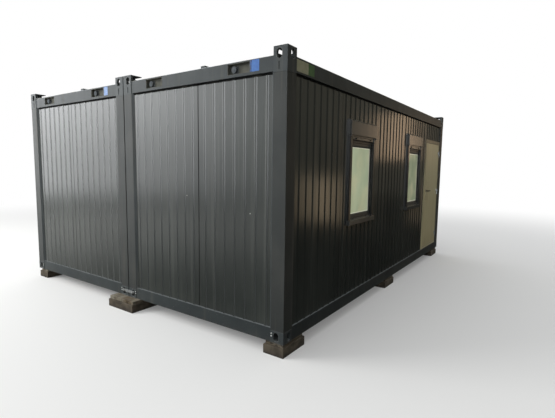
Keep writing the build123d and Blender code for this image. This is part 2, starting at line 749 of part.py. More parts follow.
def shutter_slats(start):
    """The lowest slats of the raised shutter, between the guides and up into the slot of the box."""
    edge = WINDOW_OPENING_INSET + GUIDE_WIDTH - SLAT_IN_GUIDE
    middle = -(GUIDE_PROUD + FRAME_PROUD) / 2
    slats = []
    for number in range(SLAT_COUNT):
        top = SHUTTER_BOX_BOTTOM + SHUTTER_BOX_WALL - number * SLAT_HEIGHT
        slat = block(
            (start + edge, start + WINDOW_WIDTH - edge),
            (middle - SLAT_THICKNESS / 2, middle + SLAT_THICKNESS / 2),
            (top - SLAT_HEIGHT, top),
        )
        outer_edges = slat.edges().filter_by(Axis.X).group_by(Axis.Y)[0]
        slats.append(chamfer(outer_edges, SLAT_BEVEL))
    return slats


def window_sill(start):
    """A folded sill with a slope to its front edge."""
    section = Polyline(
        (-SILL_PROUD, 0),
        (-SILL_PROUD, SILL_HEIGHT - SILL_SLOPE),
        (-FRAME_PROUD, SILL_HEIGHT),
        (-FRAME_PROUD, 0),
        close=True,
    )
    sill = extrude(Plane.YZ * make_face(section), amount=WINDOW_WIDTH)
    ribs_behind = block((0, WINDOW_WIDTH), (-RIB_HEIGHT, 0), (-SILL_HEIGHT, WINDOW_OPENING_INSET))
    return Pos(start, 0, WINDOW_BOTTOM) * (sill - ribs_behind)


write("window_frames", [on_front(window_frame(start)) for start in WINDOW_STARTS])
write("window_sashes", [on_front(window_sash(start)) for start in WINDOW_STARTS])
write("window_panes", [on_front(window_pane(start)) for start in WINDOW_STARTS])
write("shutter_guides", [on_front(guide) for start in WINDOW_STARTS for guide in shutter_guides(start)])
write("shutter_boxes", [on_front(shutter_box(start)) for start in WINDOW_STARTS])
write("shutter_end_slats", [on_front(slat) for start in WINDOW_STARTS for slat in shutter_slats(start)])
write("window_sills", [on_front(window_sill(start)) for start in WINDOW_STARTS])


# Door: a steel frame with an inner stop, a leaf that opens outwards, three hinges and a lever handle
def from_corner(solid):
    """Place a door piece, with its depth measured inwards from the casting's outer face."""
    return Pos(-HALF_LENGTH, -HALF_WIDTH, 0) * solid


CLEAR_LEFT = DOOR_START + SEAM_GAP / 2 + DOOR_FRAME_FACE
CLEAR_RIGHT = DOOR_END - SEAM_GAP / 2 - DOOR_FRAME_FACE
CLEAR_BOTTOM = PANEL_BOTTOM + DOOR_SILL_HEIGHT
CLEAR_TOP = DOOR_FRAME_TOP - DOOR_FRAME_FACE
LEAF_LEFT = CLEAR_LEFT + LEAF_GAP_LOCK
LEAF_RIGHT = CLEAR_RIGHT - LEAF_GAP_HINGE
LEAF_BOTTOM = CLEAR_BOTTOM + LEAF_GAP_BOTTOM
LEAF_TOP = CLEAR_TOP - LEAF_GAP_TOP
LEAF_OUTER = DOOR_FRAME_SETBACK + LEAF_SETBACK
LEAF_INNER = LEAF_OUTER + LEAF_THICKNESS
STOP_OUTER = LEAF_INNER + LEAF_STOP_GAP


def door_frame():
    outer_left = DOOR_START + SEAM_GAP / 2
    outer_right = DOOR_END - SEAM_GAP / 2
    frame = block((outer_left, outer_right), (DOOR_FRAME_SETBACK, WALL_INNER), (PANEL_BOTTOM, DOOR_FRAME_TOP))
    frame -= block((CLEAR_LEFT, CLEAR_RIGHT), (0, STOP_OUTER), (CLEAR_BOTTOM, CLEAR_TOP))
    frame -= block(
        (CLEAR_LEFT + DOOR_STOP_WIDTH, CLEAR_RIGHT - DOOR_STOP_WIDTH),
        (0, 2 * WALL_INNER),
        (CLEAR_BOTTOM + DOOR_STOP_WIDTH, CLEAR_TOP - DOOR_STOP_WIDTH),
    )
    return from_corner(frame)


HANDLE_X = LEAF_LEFT + HANDLE_BACKSET


def along_y(radius, start, end):
    """A cylinder along Y between two depths."""
    rod = Rotation(-90, 0, 0) * Cylinder(radius, end - start, align=(Align.CENTER, Align.CENTER, Align.MIN))
    return Pos(0, start, 0) * rod


def door_leaf():
    leaf = block((LEAF_LEFT, LEAF_RIGHT), (LEAF_OUTER, LEAF_INNER), (LEAF_BOTTOM, LEAF_TOP))
    hole = along_y(SPINDLE_RADIUS + SPINDLE_CLEARANCE, LEAF_OUTER - CUT_MARGIN, LEAF_INNER + CUT_MARGIN)
    leaf -= Pos(HANDLE_X, 0, HANDLE_HEIGHT) * hole
    return from_corner(leaf)


def handle_plate():
    """The outer plate that carries the lever and the lock cylinder."""
    top = HANDLE_HEIGHT + ROSETTE_DROP
    plate = block(
        (HANDLE_X - ROSETTE_WIDTH / 2, HANDLE_X + ROSETTE_WIDTH / 2),
        (LEAF_OUTER - ROSETTE_THICKNESS, LEAF_OUTER),
        (top - ROSETTE_HEIGHT, top),
    )
    plate = chamfer(plate.edges().filter_by(Axis.Y), ROSETTE_BEVEL)
    hole = along_y(SPINDLE_RADIUS + SPINDLE_CLEARANCE, 0, LEAF_INNER)
    plate -= Pos(HANDLE_X, 0, HANDLE_HEIGHT) * hole
    lock = along_y(KEYHOLE_RADIUS, LEAF_OUTER - ROSETTE_THICKNESS - KEYHOLE_PROUD, LEAF_OUTER)
    return from_corner(plate + Pos(HANDLE_X, 0, HANDLE_HEIGHT - KEYHOLE_DROP) * lock)


def across_leaf(solid):
    """The same solid on the inner face of the leaf."""
    middle = -HALF_WIDTH + (LEAF_OUTER + LEAF_INNER) / 2
    return Pos(0, 2 * middle, 0) * mirror(solid, about=Plane.XZ)


def door_handle():
    """A lever on each side of the leaf, on one spindle through it."""
    neck_start = LEAF_OUTER - ROSETTE_THICKNESS - LEVER_CLEARANCE
    neck_end = neck_start - LEVER_NECK
    neck = along_y(LEVER_RADIUS, neck_end, neck_start)
    bar = block(
        (-LEVER_RADIUS, LEVER_LENGTH + LEVER_RADIUS),
        (neck_end - LEVER_RADIUS, neck_end + LEVER_RADIUS),
        (-LEVER_WIDTH / 2, LEVER_WIDTH / 2),
    )
    bar = chamfer(bar.edges().filter_by(Axis.X), LEVER_BEVEL)
    outer = from_corner(Pos(HANDLE_X, 0, HANDLE_HEIGHT) * (neck + bar))
    spindle = from_corner(
        Pos(HANDLE_X, 0, HANDLE_HEIGHT)
        * along_y(SPINDLE_RADIUS, neck_start, LEAF_INNER + ROSETTE_THICKNESS + LEVER_CLEARANCE)
    )
    return outer + spindle + across_leaf(outer)


HINGE_X = LEAF_RIGHT + LEAF_GAP_HINGE / 2
HINGE_Y = LEAF_OUTER - HINGE_STANDOFF


def upright(radius, bottom, top):
    """A cylinder on the hinge line between two levels."""
    rod = Cylinder(radius, top - bottom, align=(Align.CENTER, Align.CENTER, Align.MIN))
    return Pos(HINGE_X, HINGE_Y, bottom) * rod


def frame_hinge(level):
    """The lower half of a hinge, with its pin, on the door frame's face."""
    barrel = upright(HINGE_RADIUS, level - HINGE_BARREL, level)
    pin = upright(HINGE_PIN_RADIUS, level, level + HINGE_BARREL)
    plate = block(
        (HINGE_X, HINGE_X + HINGE_PLATE_WIDTH),
        (DOOR_FRAME_SETBACK - HINGE_PLATE, DOOR_FRAME_SETBACK),
        (level - HINGE_BARREL, level),
    )
    return from_corner(barrel + pin + plate)


def leaf_hinge(level):
    """The upper half of a hinge, on the leaf's face."""
    bottom = level + HINGE_PIN_CLEARANCE
    top = level + HINGE_BARREL + HINGE_PLATE
    barrel = upright(HINGE_RADIUS, bottom, top)
    plate = block(
        (HINGE_X - HINGE_PLATE_WIDTH, HINGE_X), (LEAF_OUTER - HINGE_PLATE, LEAF_OUTER), (bottom, top)
    )
    bore_top = level + HINGE_BARREL + HINGE_PIN_CLEARANCE
    bore = upright(HINGE_PIN_RADIUS + HINGE_PIN_CLEARANCE, level - CUT_MARGIN, bore_top)
    return from_corner((barrel + plate) - bore)


write("door_frame", [door_frame()])
write("door_leaf", [door_leaf()])
write("door_plates", [handle_plate(), across_leaf(handle_plate())])
write("door_handle", [door_handle()])
write("frame_hinges", [frame_hinge(level) for level in HINGE_HEIGHTS])
write("leaf_hinges", [leaf_hinge(level) for level in HINGE_HEIGHTS])


# Joint between the modules: clamps on the bottom castings, seals, a roof cover and inner trims
def module_clamp():
    """A plate across the joint on the left end, with a bolt head in each casting's hole."""
    plate = block(
        (-HALF_LENGTH - CLAMP_THICKNESS, -HALF_LENGTH),
        (-CLAMP_LENGTH / 2, CLAMP_LENGTH / 2),
        (CLAMP_LEVEL - CLAMP_HEIGHT / 2, CLAMP_LEVEL + CLAMP_HEIGHT / 2),
    )
    for side in (-1, 1):
        bolt = Rotation(0, -90, 0) * extrude(RegularPolygon(CLAMP_BOLT_RADIUS, 6), amount=CLAMP_BOLT_HEAD)
        plate += Pos(-HALF_LENGTH - CLAMP_THICKNESS, side * (HALF_GAP + HOLE_FROM_CORNER), CLAMP_LEVEL) * bolt
    return plate


clamp = module_clamp()
write("module_clamps", [clamp] + other_end([clamp]))
seal = block(
    (-HALF_LENGTH + SEAL_INSET, -HALF_LENGTH + SEAL_INSET + SEAL_DEPTH),
    (-HALF_GAP, HALF_GAP),
    (0, CASTING_TOP_BOTTOM),
)
write("joint_seals", [seal] + other_end([seal]))
cover_reach = HALF_LENGTH - CASTING_SIDE
cover = block(
    (-cover_reach, cover_reach),
    (-COVER_WIDTH / 2, COVER_WIDTH / 2),
    (TOP_RAIL_TOP + ROOF_SHEET, TOP_RAIL_TOP + ROOF_SHEET + COVER_THICKNESS),
)
write("roof_joint_cover", [cover])
trim_reach = HALF_LENGTH - POST_SIDE
trim_span = (-TRIM_WIDTH / 2, TRIM_WIDTH / 2)
floor_trim = block((-trim_reach, trim_reach), trim_span, (FLOOR_TOP, FLOOR_TOP + TRIM_THICKNESS))
ceiling_trim = block((-trim_reach, trim_reach), trim_span, (CEILING_BOTTOM - TRIM_THICKNESS, CEILING_BOTTOM))
write("inner_joint_trims", [floor_trim, ceiling_trim])
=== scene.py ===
import math
import random

import bmesh
import bpy
from mathutils import Matrix, Vector


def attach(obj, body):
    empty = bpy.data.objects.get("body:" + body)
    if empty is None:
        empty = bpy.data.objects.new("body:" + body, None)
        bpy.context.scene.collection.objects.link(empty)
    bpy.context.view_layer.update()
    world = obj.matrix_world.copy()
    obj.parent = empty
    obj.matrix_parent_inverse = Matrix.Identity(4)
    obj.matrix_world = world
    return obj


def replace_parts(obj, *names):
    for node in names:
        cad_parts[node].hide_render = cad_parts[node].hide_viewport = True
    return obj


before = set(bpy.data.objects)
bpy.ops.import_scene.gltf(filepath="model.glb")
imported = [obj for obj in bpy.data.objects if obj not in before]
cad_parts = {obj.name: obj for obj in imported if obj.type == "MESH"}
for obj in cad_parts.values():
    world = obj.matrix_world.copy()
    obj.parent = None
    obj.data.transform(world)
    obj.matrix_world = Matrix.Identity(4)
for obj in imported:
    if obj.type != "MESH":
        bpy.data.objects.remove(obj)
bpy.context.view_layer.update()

chance = random.Random(4810)


# Concrete supports: nine precast blocks, laid loose on the ground under the corners, middle and joint.
# They are cast in steel moulds, so their faces are fairly smooth, with air holes, stains and a damp foot.
class Wire:
    """The output of a shader node, which adds a Math node where Python adds, multiplies or compares."""

    def __init__(self, tree, socket=None):
        self.tree = tree
        self.socket = socket

    def node(self, kind, settings=None, sockets=None, output=0):
        """Add a node: first its settings, then the values or the links of its sockets."""
        node = self.tree.nodes.new("ShaderNode" + kind)
        for name, value in (settings or {}).items():
            if name == "stops":
                ramp = node.color_ramp.elements
                while len(ramp) < len(value):
                    ramp.new(1)
                for stop, (position, colour) in zip(ramp, value):
                    stop.position, stop.color = position, colour
            else:
                setattr(node, name, value)
        for name, value in (sockets or {}).items():
            if isinstance(value, Wire):
                self.tree.links.new(value.socket, node.inputs[name])
            else:
                node.inputs[name].default_value = value
        return Wire(self.tree, node.outputs[output]) if node.outputs else None

    def output(self, name):
        return Wire(self.tree, self.socket.node.outputs[name])

    def maths(self, operation, *values):
        return self.node("Math", {"operation": operation}, dict(enumerate(values)))

    def __add__(self, other):
        return self.maths("ADD", self, other)

    def __radd__(self, other):
        return self.maths("ADD", other, self)

    def __sub__(self, other):
        return self.maths("SUBTRACT", self, other)

    def __rsub__(self, other):
        return self.maths("SUBTRACT", other, self)

    def __mul__(self, other):
        return self.maths("MULTIPLY", self, other)

    def __rmul__(self, other):
        return self.maths("MULTIPLY", other, self)

    def __lt__(self, other):
        return self.maths("LESS_THAN", self, other)

    def __gt__(self, other):
        return self.maths("GREATER_THAN", self, other)

    def __abs__(self):
        return self.maths("ABSOLUTE", self)

    def between(self, low, high):
        """A smooth step from 0 at low to 1 at high."""
        limits = {"Value": self, "From Min": low, "From Max": high}
        return self.node("MapRange", {"interpolation_type": "SMOOTHSTEP"}, limits)

    def blend(self, first, second):
        """A colour between two colours, with this wire as the share of the second."""
        return self.node("Mix", {"data_type": "RGBA"}, {0: self, 6: first, 7: second}, output=2)


def screen_colour(red, green, blue):
    """The linear colour of red, green and blue from 0 to 255, as a screen shows them."""
    channels = [value / 255 for value in (red, green, blue)]
    return [c / 12.92 if c <= 0.04045 else ((c + 0.055) / 1.055) ** 2.4 for c in channels] + [1]


def new_finish(name):
    """A material with an empty tree, and the wire that its nodes are added from."""
    material = bpy.data.materials.new(name)
    material.use_nodes = True
    material.node_tree.nodes.clear()
    return material, Wire(material.node_tree)


def surface(finish, sockets):
    """Close a finish with its shader."""
    finish.node("OutputMaterial", sockets={"Surface": finish.node("BsdfPrincipled", sockets=sockets)})


def places(finish, source="Object"):
    """The x, y and z of each point in the piece's own coordinates, or of its normal."""
    split = finish.node("SeparateXYZ", sockets={"Vector": finish.node("TexCoord", output=source)})
    return split, split.output("Y"), split.output("Z")


def cloud(finish, scale, stretch=(1, 1, 1), detail=3):
    """Soft noise from 0 to 1, stretched along an axis by a factor under 1."""
    point = finish.node("TexCoord", output="Object")
    place = finish.node("Mapping", sockets={"Vector": point, "Scale": stretch})
    return finish.node("TexNoise", sockets={"Vector": place, "Scale": scale, "Detail": detail})


def cells(finish, scale, output="Distance"):
    """Cells like crystals or pores: the distance from the middle of each, or its random colour."""
    point = finish.node("TexCoord", output="Object")
    return finish.node("TexVoronoi", sockets={"Scale": scale, "Vector": point}, output=output)


def relief(finish, height, distance, **normal):
    """A normal that follows a height, on the surface's own normal or on a given one."""
    return finish.node("Bump", sockets={"Height": height, "Distance": distance, **normal})


def dress(material, *names):
    """Give CAD nodes a finish."""
    for name in names:
        for material_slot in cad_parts[name].material_slots:
            material_slot.material = material


CONCRETE_DARK = screen_colour(56, 50, 41)
CONCRETE_LIGHT = screen_colour(92, 84, 72)
CONCRETE_DAMP = screen_colour(38, 34, 29)

concrete, finish = new_finish("cast_concrete")
z = places(finish)[2]
mottle = cloud(finish, 9, detail=8)
pits = (cells(finish, 70) < 0.17) * (cloud(finish, 25) > 0.52)
damp = (z + 0.05 * cloud(finish, 14)).between(0.075, 0.02)
worn = mottle.between(0.32, 0.7).blend(CONCRETE_DARK, CONCRETE_LIGHT)
surface(finish, {
    "Base Color": (damp * 0.75 + pits * 0.2).blend(worn, CONCRETE_DAMP),
    "Roughness": 0.95 - damp * 0.2,
    "Normal": relief(finish, mottle + cloud(finish, 160) * 0.25 - pits * 0.8, 0.006),
})
dress(concrete, "support_blocks")


# Timber packers: rough-sawn boards side by side on each block, taking up its unevenness under the steel.
# They are unplaned softwood, gone grey in the weather, and are held by the weight of the cabin alone.
BOARD_WIDTH = 0.118
BOARD_GAP = 0.003
PACKER_BOTTOM = 0.098
PACKER_TOP = 0.140
CORNER_PACKER = (0.376, 0.216)
CORNER_PACKER_PLACE = (2.821, 2.315)
JOINT_PACKER = (0.376, 0.476)
JOINT_PACKER_PLACE = 2.959
UNEVEN_ENDS = 0.012
UNEVEN_TOPS = 0.0015


def slab(form, low, high, bevel=0.0, segments=2):
    """Add a box between two corners, with its edges rounded."""
    low, high = Vector(low), Vector(high)
    made = bmesh.ops.create_cube(form, size=1)["verts"]
    for vertex in made:
        vertex.co = Vector(
            low[axis] + (vertex.co[axis] + 0.5) * (high[axis] - low[axis]) for axis in range(3)
        )
    if bevel:
        edges = list(dict.fromkeys(edge for vertex in made for edge in vertex.link_edges))
        bmesh.ops.bevel(form, geom=edges, offset=bevel, segments=segments, profile=0.5, affect="EDGES")


def add_piece(name, form, material, body="cabin"):
    """Make a piece of a form, with one finish, that rides on a body."""
    bmesh.ops.recalc_face_normals(form, faces=form.faces)
    mesh = bpy.data.meshes.new(name)
    form.to_mesh(mesh)
    form.free()
    mesh.materials.append(material)
    piece = bpy.data.objects.new(name, mesh)
    bpy.context.collection.objects.link(piece)
    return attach(piece, body)


packer_x, packer_y = CORNER_PACKER_PLACE
packers = [(end * packer_x, side * packer_y, CORNER_PACKER) for end in (-1, 0, 1) for side in (-1, 1)]
packers += [(end * JOINT_PACKER_PLACE, 0, JOINT_PACKER) for end in (-1, 0, 1)]
boards = bmesh.new()
for x_middle, y_middle, (length, width) in packers:
    count = round(width / BOARD_WIDTH)
    pitch = width / count
    for number in range(count):
        y_low = y_middle - width / 2 + number * pitch
        left = x_middle - length / 2 + chance.uniform(0, UNEVEN_ENDS)
        top = PACKER_TOP - chance.uniform(0, UNEVEN_TOPS)
        right = x_middle + length / 2 - chance.uniform(0, UNEVEN_ENDS)
        slab(boards, (left, y_low, PACKER_BOTTOM), (right, y_low + pitch - BOARD_GAP, top), bevel=0.0025)

TIMBER_GREY = screen_colour(128, 122, 108)
TIMBER_BROWN = screen_colour(92, 80, 62)
TIMBER_DARK = screen_colour(52, 46, 38)

timber, finish = new_finish("weathered_timber")
fibres = cloud(finish, 26, (0.07, 1, 1.6), detail=6)
saw_marks = finish.node("TexWave", {"bands_direction": "X"}, {"Scale": 38, "Distortion": 2.5, "Detail": 2})
greyed = cloud(finish, 5).between(0.35, 0.6).blend(TIMBER_BROWN, TIMBER_GREY)
surface(finish, {
    "Base Color": fibres.between(0.5, 0.32).blend(greyed, TIMBER_DARK),
    "Roughness": 0.85 + fibres * 0.1,
    "Normal": relief(finish, fibres + saw_marks * 0.15, 0.004),
})
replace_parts(add_piece("packer_boards", boards, timber), "timber_packers")


# Corner castings: hollow cast steel boxes at each corner of both modules, for crane hooks and lashings.
# They are welded to the posts and rails, painted with the frame, scuffed low down, and given a painted
# highlight round their holes.
CASTING_END = 3.029
CASTING_EDGES = ((-2.443, 1), (-0.005, -1), (0.005, 1), (2.443, -1))
CORNERS = [(end, edge, inward) for end in (-1, 1) for edge, inward in CASTING_EDGES]
MODULE_MIDDLE = 1.224
HOLE_FROM_MIDDLE = 1.129
HOLE_RADIUS = 0.030
HOLE_STRAIGHT = 0.015
TOP_HOLE = 2.874
BOTTOM_HOLE = 0.199
FRAME_SCUFF_AND_HIGHLIGHT = screen_colour(128, 131, 129)
ROAD_DUST = screen_colour(132, 126, 113)
LEDGE_DUST = screen_colour(150, 155, 156)


def frame_paint(name, highlights_and_scuffs=None, grey=(56, 61, 62), faded=(70, 75, 75)):
    """Anthracite paint on welded steel: a little orange peel, rain streaks, dust on ledges, nicks, and any
    scuffs and painted highlights given.
    """
    material, finish = new_finish(name)
    z = places(finish)[2]
    up = places(finish, "Normal")[2]
    streaks = cloud(finish, 14, (1, 1, 0.06), detail=4)
    patches = cloud(finish, 2.3, detail=5)
    ledge = up.between(0.5, 0.9) * (0.35 + streaks * 0.4)
    splash = (z + 0.25 * cloud(finish, 6)).between(0.34, 0.12) * 0.12
    dust = splash + streaks.between(0.58, 0.72) * 0.12
    nicks = (cloud(finish, 46, detail=6) > 0.705) * (z < 0.29)
    base = patches.between(0.3, 0.75).blend(screen_colour(*grey), screen_colour(*faded))
    base = ledge.blend(dust.blend(base, ROAD_DUST), LEDGE_DUST)
    worn = nicks * 0.55
    # Marks passed in may hold painted highlight as well as scuffs.
    if highlights_and_scuffs:
        worn = worn + highlights_and_scuffs(finish)
    surface(finish, {
        "Base Color": worn.blend(base, FRAME_SCUFF_AND_HIGHLIGHT),
        "Roughness": 0.42 + streaks * 0.16 + dust * 0.4,
        "Specular IOR Level": 0.27,
        "Normal": relief(finish, cloud(finish, 420) * 0.1 + cloud(finish, 5) * 0.9, 0.0012),
    })
    return material


def hole_highlights_and_scuffs(finish):
    """A ring of painted highlight on the rims of the end holes, and scraped paint on the lower corners."""
    y, z = places(finish)[1:]
    beside = abs(abs(abs(y) - MODULE_MIDDLE) - HOLE_FROM_MIDDLE)
    over_hole = abs(abs(z - (TOP_HOLE + BOTTOM_HOLE) / 2) - (TOP_HOLE - BOTTOM_HOLE) / 2)
    past_straight = finish.maths("MAXIMUM", over_hole - HOLE_STRAIGHT, 0.0)
    round_hole = finish.maths("SQRT", beside * beside + past_straight * past_straight)
    # The rims' paler ring is a painted highlight, where the holes' edges catch the light.
    painted_rim_highlight = abs(round_hole - HOLE_RADIUS).between(0.0065, 0.0015)
    below = z.between(0.152, 0.142)
    return (painted_rim_highlight * 0.5 + below * 0.4) * cloud(finish, 30, detail=5).between(0.38, 0.6)


dress(
    frame_paint("casting_paint", hole_highlights_and_scuffs),
    "near_bottom_castings", "far_bottom_castings", "near_top_castings", "far_top_castings",
)


def skin(form, rings, capped=True):
    """Join rings of vertices into a skin, with a face over each end."""
    for ring, following in zip(rings, rings[1:]):
        for side in range(len(ring)):
            form.faces.new((ring[side - 1], ring[side], following[side], following[side - 1]))
    if capped:
        form.faces.new(rings[0][::-1])
        form.faces.new(rings[-1])


def turned(form, centre, axis, profile, sides=20):
    """Add a turned form: each pair in the profile is a distance along the axis and a radius."""
    centre, axis = Vector(centre), Vector(axis).normalized()
    across = axis.orthogonal().normalized()
    spokes = [Matrix.Rotation(math.tau * side / sides, 3, axis) @ across for side in range(sides)]
    skin(form, [
        [form.verts.new(centre + axis * along + spoke * radius) for spoke in spokes]
        for along, radius in profile
    ])


def hex_bolt(form, centre, axis, radius, height):
    """Add a bolt head with its chamfer on a round washer."""
    washer = [(0, radius * 1.45), (height * 0.22, radius * 1.45), (height * 0.25, radius * 1.3)]
    turned(form, centre, axis, washer)
    head = [(height * 0.2, radius), (height * 0.9, radius), (height, radius * 0.82)]
    turned(form, centre, axis, head, sides=6)


SMALL_BOLT_FROM_CORNER = 0.143
SMALL_BOLT_LEVELS = (0.203, 0.229)

small_bolts = bmesh.new()
for end, edge, inward in CORNERS:
    for level in SMALL_BOLT_LEVELS:
        seat = (end * (CASTING_END - 0.001), edge + inward * SMALL_BOLT_FROM_CORNER, level)
        hex_bolt(small_bolts, seat, (end, 0, 0), radius=0.0065, height=0.008)

ZINC_BRIGHT = screen_colour(214, 216, 212)
ZINC_DULL = screen_colour(160, 163, 160)

zinc, finish = new_finish("bright_zinc")
blotches = cloud(finish, 60, detail=4)
surface(finish, {
    "Base Color": blotches.between(0.35, 0.65).blend(ZINC_DULL, ZINC_BRIGHT),
    "Metallic": 0.75,
    "Roughness": 0.3 + blotches * 0.25,
    "Normal": relief(finish, cloud(finish, 400), 0.0003),
})
add_piece("casting_bolts", small_bolts, zinc)


# Corner posts: folded steel angles between the castings, 2 mm behind their faces.
# They are joined to the castings with hand-laid weld beads, and painted over.
POST_TOP = 2.710
POST_BOTTOM = 0.258
POST_WELD = (0.008, 0.151)
BEAD_RADIUS = 0.0035
BEAD_RIPPLE = 0.006
BEAD_SIDES = 6


def weld_bead(form, start, end):
    """Add a rippled bead from start to end."""
    start, end = Vector(start), Vector(end)
    run = end - start
    across = run.orthogonal().normalized()
    spokes = [Matrix.Rotation(math.tau * side / BEAD_SIDES, 3, run) @ across for side in range(BEAD_SIDES)]
    steps = round(run.length / BEAD_RIPPLE)
    rings = []
    for step in range(steps + 1):
        fullness = 0.4 if step in (0, steps) else chance.uniform(0.75, 1) if step % 2 else 0.7
        centre = start.lerp(end, step / steps)
        rings.append([form.verts.new(centre + BEAD_RADIUS * fullness * spoke) for spoke in spokes])
    skin(form, rings)


post_paint = frame_paint("post_paint", grey=(49, 52, 51), faded=(61, 63, 61))
dress(post_paint, "near_posts", "far_posts")
post_welds = bmesh.new()
for end, edge, inward in CORNERS:
    for level in (POST_BOTTOM, POST_TOP):
        depth = end * (CASTING_END - BEAD_RADIUS)
        start, stop = (edge + inward * along for along in POST_WELD)
        weld_bead(post_welds, (depth, start, level), (depth, stop, level))
        if abs(edge) > 1:
            depth = edge + inward * BEAD_RADIUS
            start, stop = (end * (CASTING_END - along) for along in POST_WELD)
            weld_bead(post_welds, (start, depth, level), (stop, depth, level))
add_piece("post_welds", post_welds, post_paint)


# Rails: cold-formed channels between the castings, low round the floor and high round the roof.
# Each stands 5 mm behind the castings and is welded to them at both ends.
RAIL_FACE = 0.005
CASTING_SIDE = 0.155
LOW_RAIL = (0.142, 0.278)
HIGH_RAIL = (2.722, 2.818)

rail_paint = frame_paint("rail_paint", grey=(49, 54, 55), faded=(61, 66, 66))
dress(rail_paint, "near_bottom_rails", "far_bottom_rails", "near_top_rails", "far_top_rails")
rail_welds = bmesh.new()
for end, edge, inward in CORNERS:
    for low, high in (LOW_RAIL, HIGH_RAIL):
        spot = (end * (CASTING_END - RAIL_FACE), edge + inward * CASTING_SIDE)
        weld_bead(rail_welds, (*spot, low), (*spot, high))
        if abs(edge) > 1:
            spot = (end * (CASTING_END - CASTING_SIDE), edge + inward * RAIL_FACE)
            weld_bead(rail_welds, (*spot, low), (*spot, high))
add_piece("rail_welds", rail_welds, rail_paint)


# Electrical inlets: moulded boxes let into the upper left end rails, each with one round power inlet.
# Every inlet has a square flange, a sprung lid on a hinge pin, and a latch below it.
INLET_BACK = -2.9735
INLET_LEVEL = 2.799
INLET_MIDDLES = (-1.865, -0.583, 0.583, 1.865)
INLET_OFFSET = 0.075
FLANGE_HALF = 0.036
FLANGE_DEPTH = 0.006
FLANGE_SCREW_PLACE = 0.030
FLANGE_SCREW = [(0, 0.003), (0.0015, 0.0028), (0.002, 0.0018)]
INLET_BARREL = [(0.004, 0.029), (0.016, 0.028), (0.018, 0.0305), (0.022, 0.0305)]
LID_DOME = [(0.0225, 0.0305), (0.024, 0.033), (0.029, 0.033), (0.032, 0.03), (0.0335, 0.02), (0.034, 0.009)]
LID_PIN_LENGTH = 0.028
LID_PIN = [(0, 0.0035), (LID_PIN_LENGTH, 0.0035)]
LATCH_HALF = 0.007

inlet_lids = bmesh.new()
inlet_flanges = bmesh.new()
for middle in INLET_MIDDLES:
    y_socket = middle + INLET_OFFSET
    back = (INLET_BACK, y_socket, INLET_LEVEL)
    slab(
        inlet_flanges,
        (INLET_BACK - FLANGE_DEPTH, y_socket - FLANGE_HALF, INLET_LEVEL - FLANGE_HALF),
        (INLET_BACK + 0.0005, y_socket + FLANGE_HALF, INLET_LEVEL + FLANGE_HALF),
        bevel=0.002,
    )
    turned(inlet_flanges, back, (-1, 0, 0), INLET_BARREL, sides=32)
    for y_step in (-FLANGE_SCREW_PLACE, FLANGE_SCREW_PLACE):
        for z_step in (-FLANGE_SCREW_PLACE, FLANGE_SCREW_PLACE):
            seat = (INLET_BACK - FLANGE_DEPTH + 0.0005, y_socket + y_step, INLET_LEVEL + z_step)
            turned(inlet_flanges, seat, (-1, 0, 0), FLANGE_SCREW, sides=10)
    turned(inlet_lids, back, (-1, 0, 0), LID_DOME, sides=32)
    pin_end = (INLET_BACK - 0.026, y_socket - LID_PIN_LENGTH / 2, INLET_LEVEL + 0.0315)
    turned(inlet_lids, pin_end, (0, 1, 0), LID_PIN, sides=12)
    slab(
        inlet_lids,
        (INLET_BACK - 0.031, y_socket - LATCH_HALF, INLET_LEVEL - 0.038),
        (INLET_BACK - 0.023, y_socket + LATCH_HALF, INLET_LEVEL - 0.028),
        bevel=0.0015,
    )


def moulded_plastic(name, colour, worn_colour, roughness):
    """Moulded plastic with a fine grain and a chalky bloom from the sun."""
    material, finish = new_finish(name)
    bloom = cloud(finish, 12, detail=5)
    surface(finish, {
        "Base Color": bloom.between(0.4, 0.7).blend(screen_colour(*colour), screen_colour(*worn_colour)),
        "Roughness": roughness + bloom * 0.15,
        "Normal": relief(finish, cloud(finish, 900), 0.0002),
    })
    return material


lid_slate = moulded_plastic("inlet_lid_slate", (76, 82, 86), (90, 94, 96), 0.8)
flange_grey = moulded_plastic("inlet_flange_grey", (92, 96, 100), (110, 113, 114), 0.7)
dress(moulded_plastic("inlet_box_grey", (88, 89, 82), (102, 101, 92), 0.8), "inlet_boxes")
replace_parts(add_piece("inlet_flanges", inlet_flanges, flange_grey), "inlet_sockets")
add_piece("inlet_lids", inlet_lids, lid_slate)


# Floor: galvanised joists and sheet below, and grey vinyl on boards above, with a welded seam each 2 m.
# The joists are welded between the long rails, and the boards are screwed down to them.
GALVANISED_LIGHT = screen_colour(158, 162, 163)
GALVANISED_DARK = screen_colour(120, 124, 126)
VINYL_GREY = screen_colour(122, 124, 122)
VINYL_SCUFFED = screen_colour(104, 104, 100)
VINYL_FLECK = screen_colour(160, 162, 160)
VINYL_WIDTH = 2.0


def galvanised(name, dirt):
    """Hot-dip galvanised sheet: pale crystals of several greys, with dirt that the rain leaves."""
    material, finish = new_finish(name)
    tone = finish.node("RGBToBW", sockets={"Color": cells(finish, 55, "Color")})
    stains = cloud(finish, 3, (0.4, 1, 1), detail=6).between(0.48, 0.68)
    surface(finish, {
        "Base Color": (stains * dirt).blend(tone.blend(GALVANISED_DARK, GALVANISED_LIGHT), ROAD_DUST),
        "Metallic": 0.55,
        "Roughness": 0.38 + tone * 0.14 + stains * 0.2,
        "Normal": relief(finish, tone * 0.2 + cloud(finish, 3), 0.0006),
    })
    return material


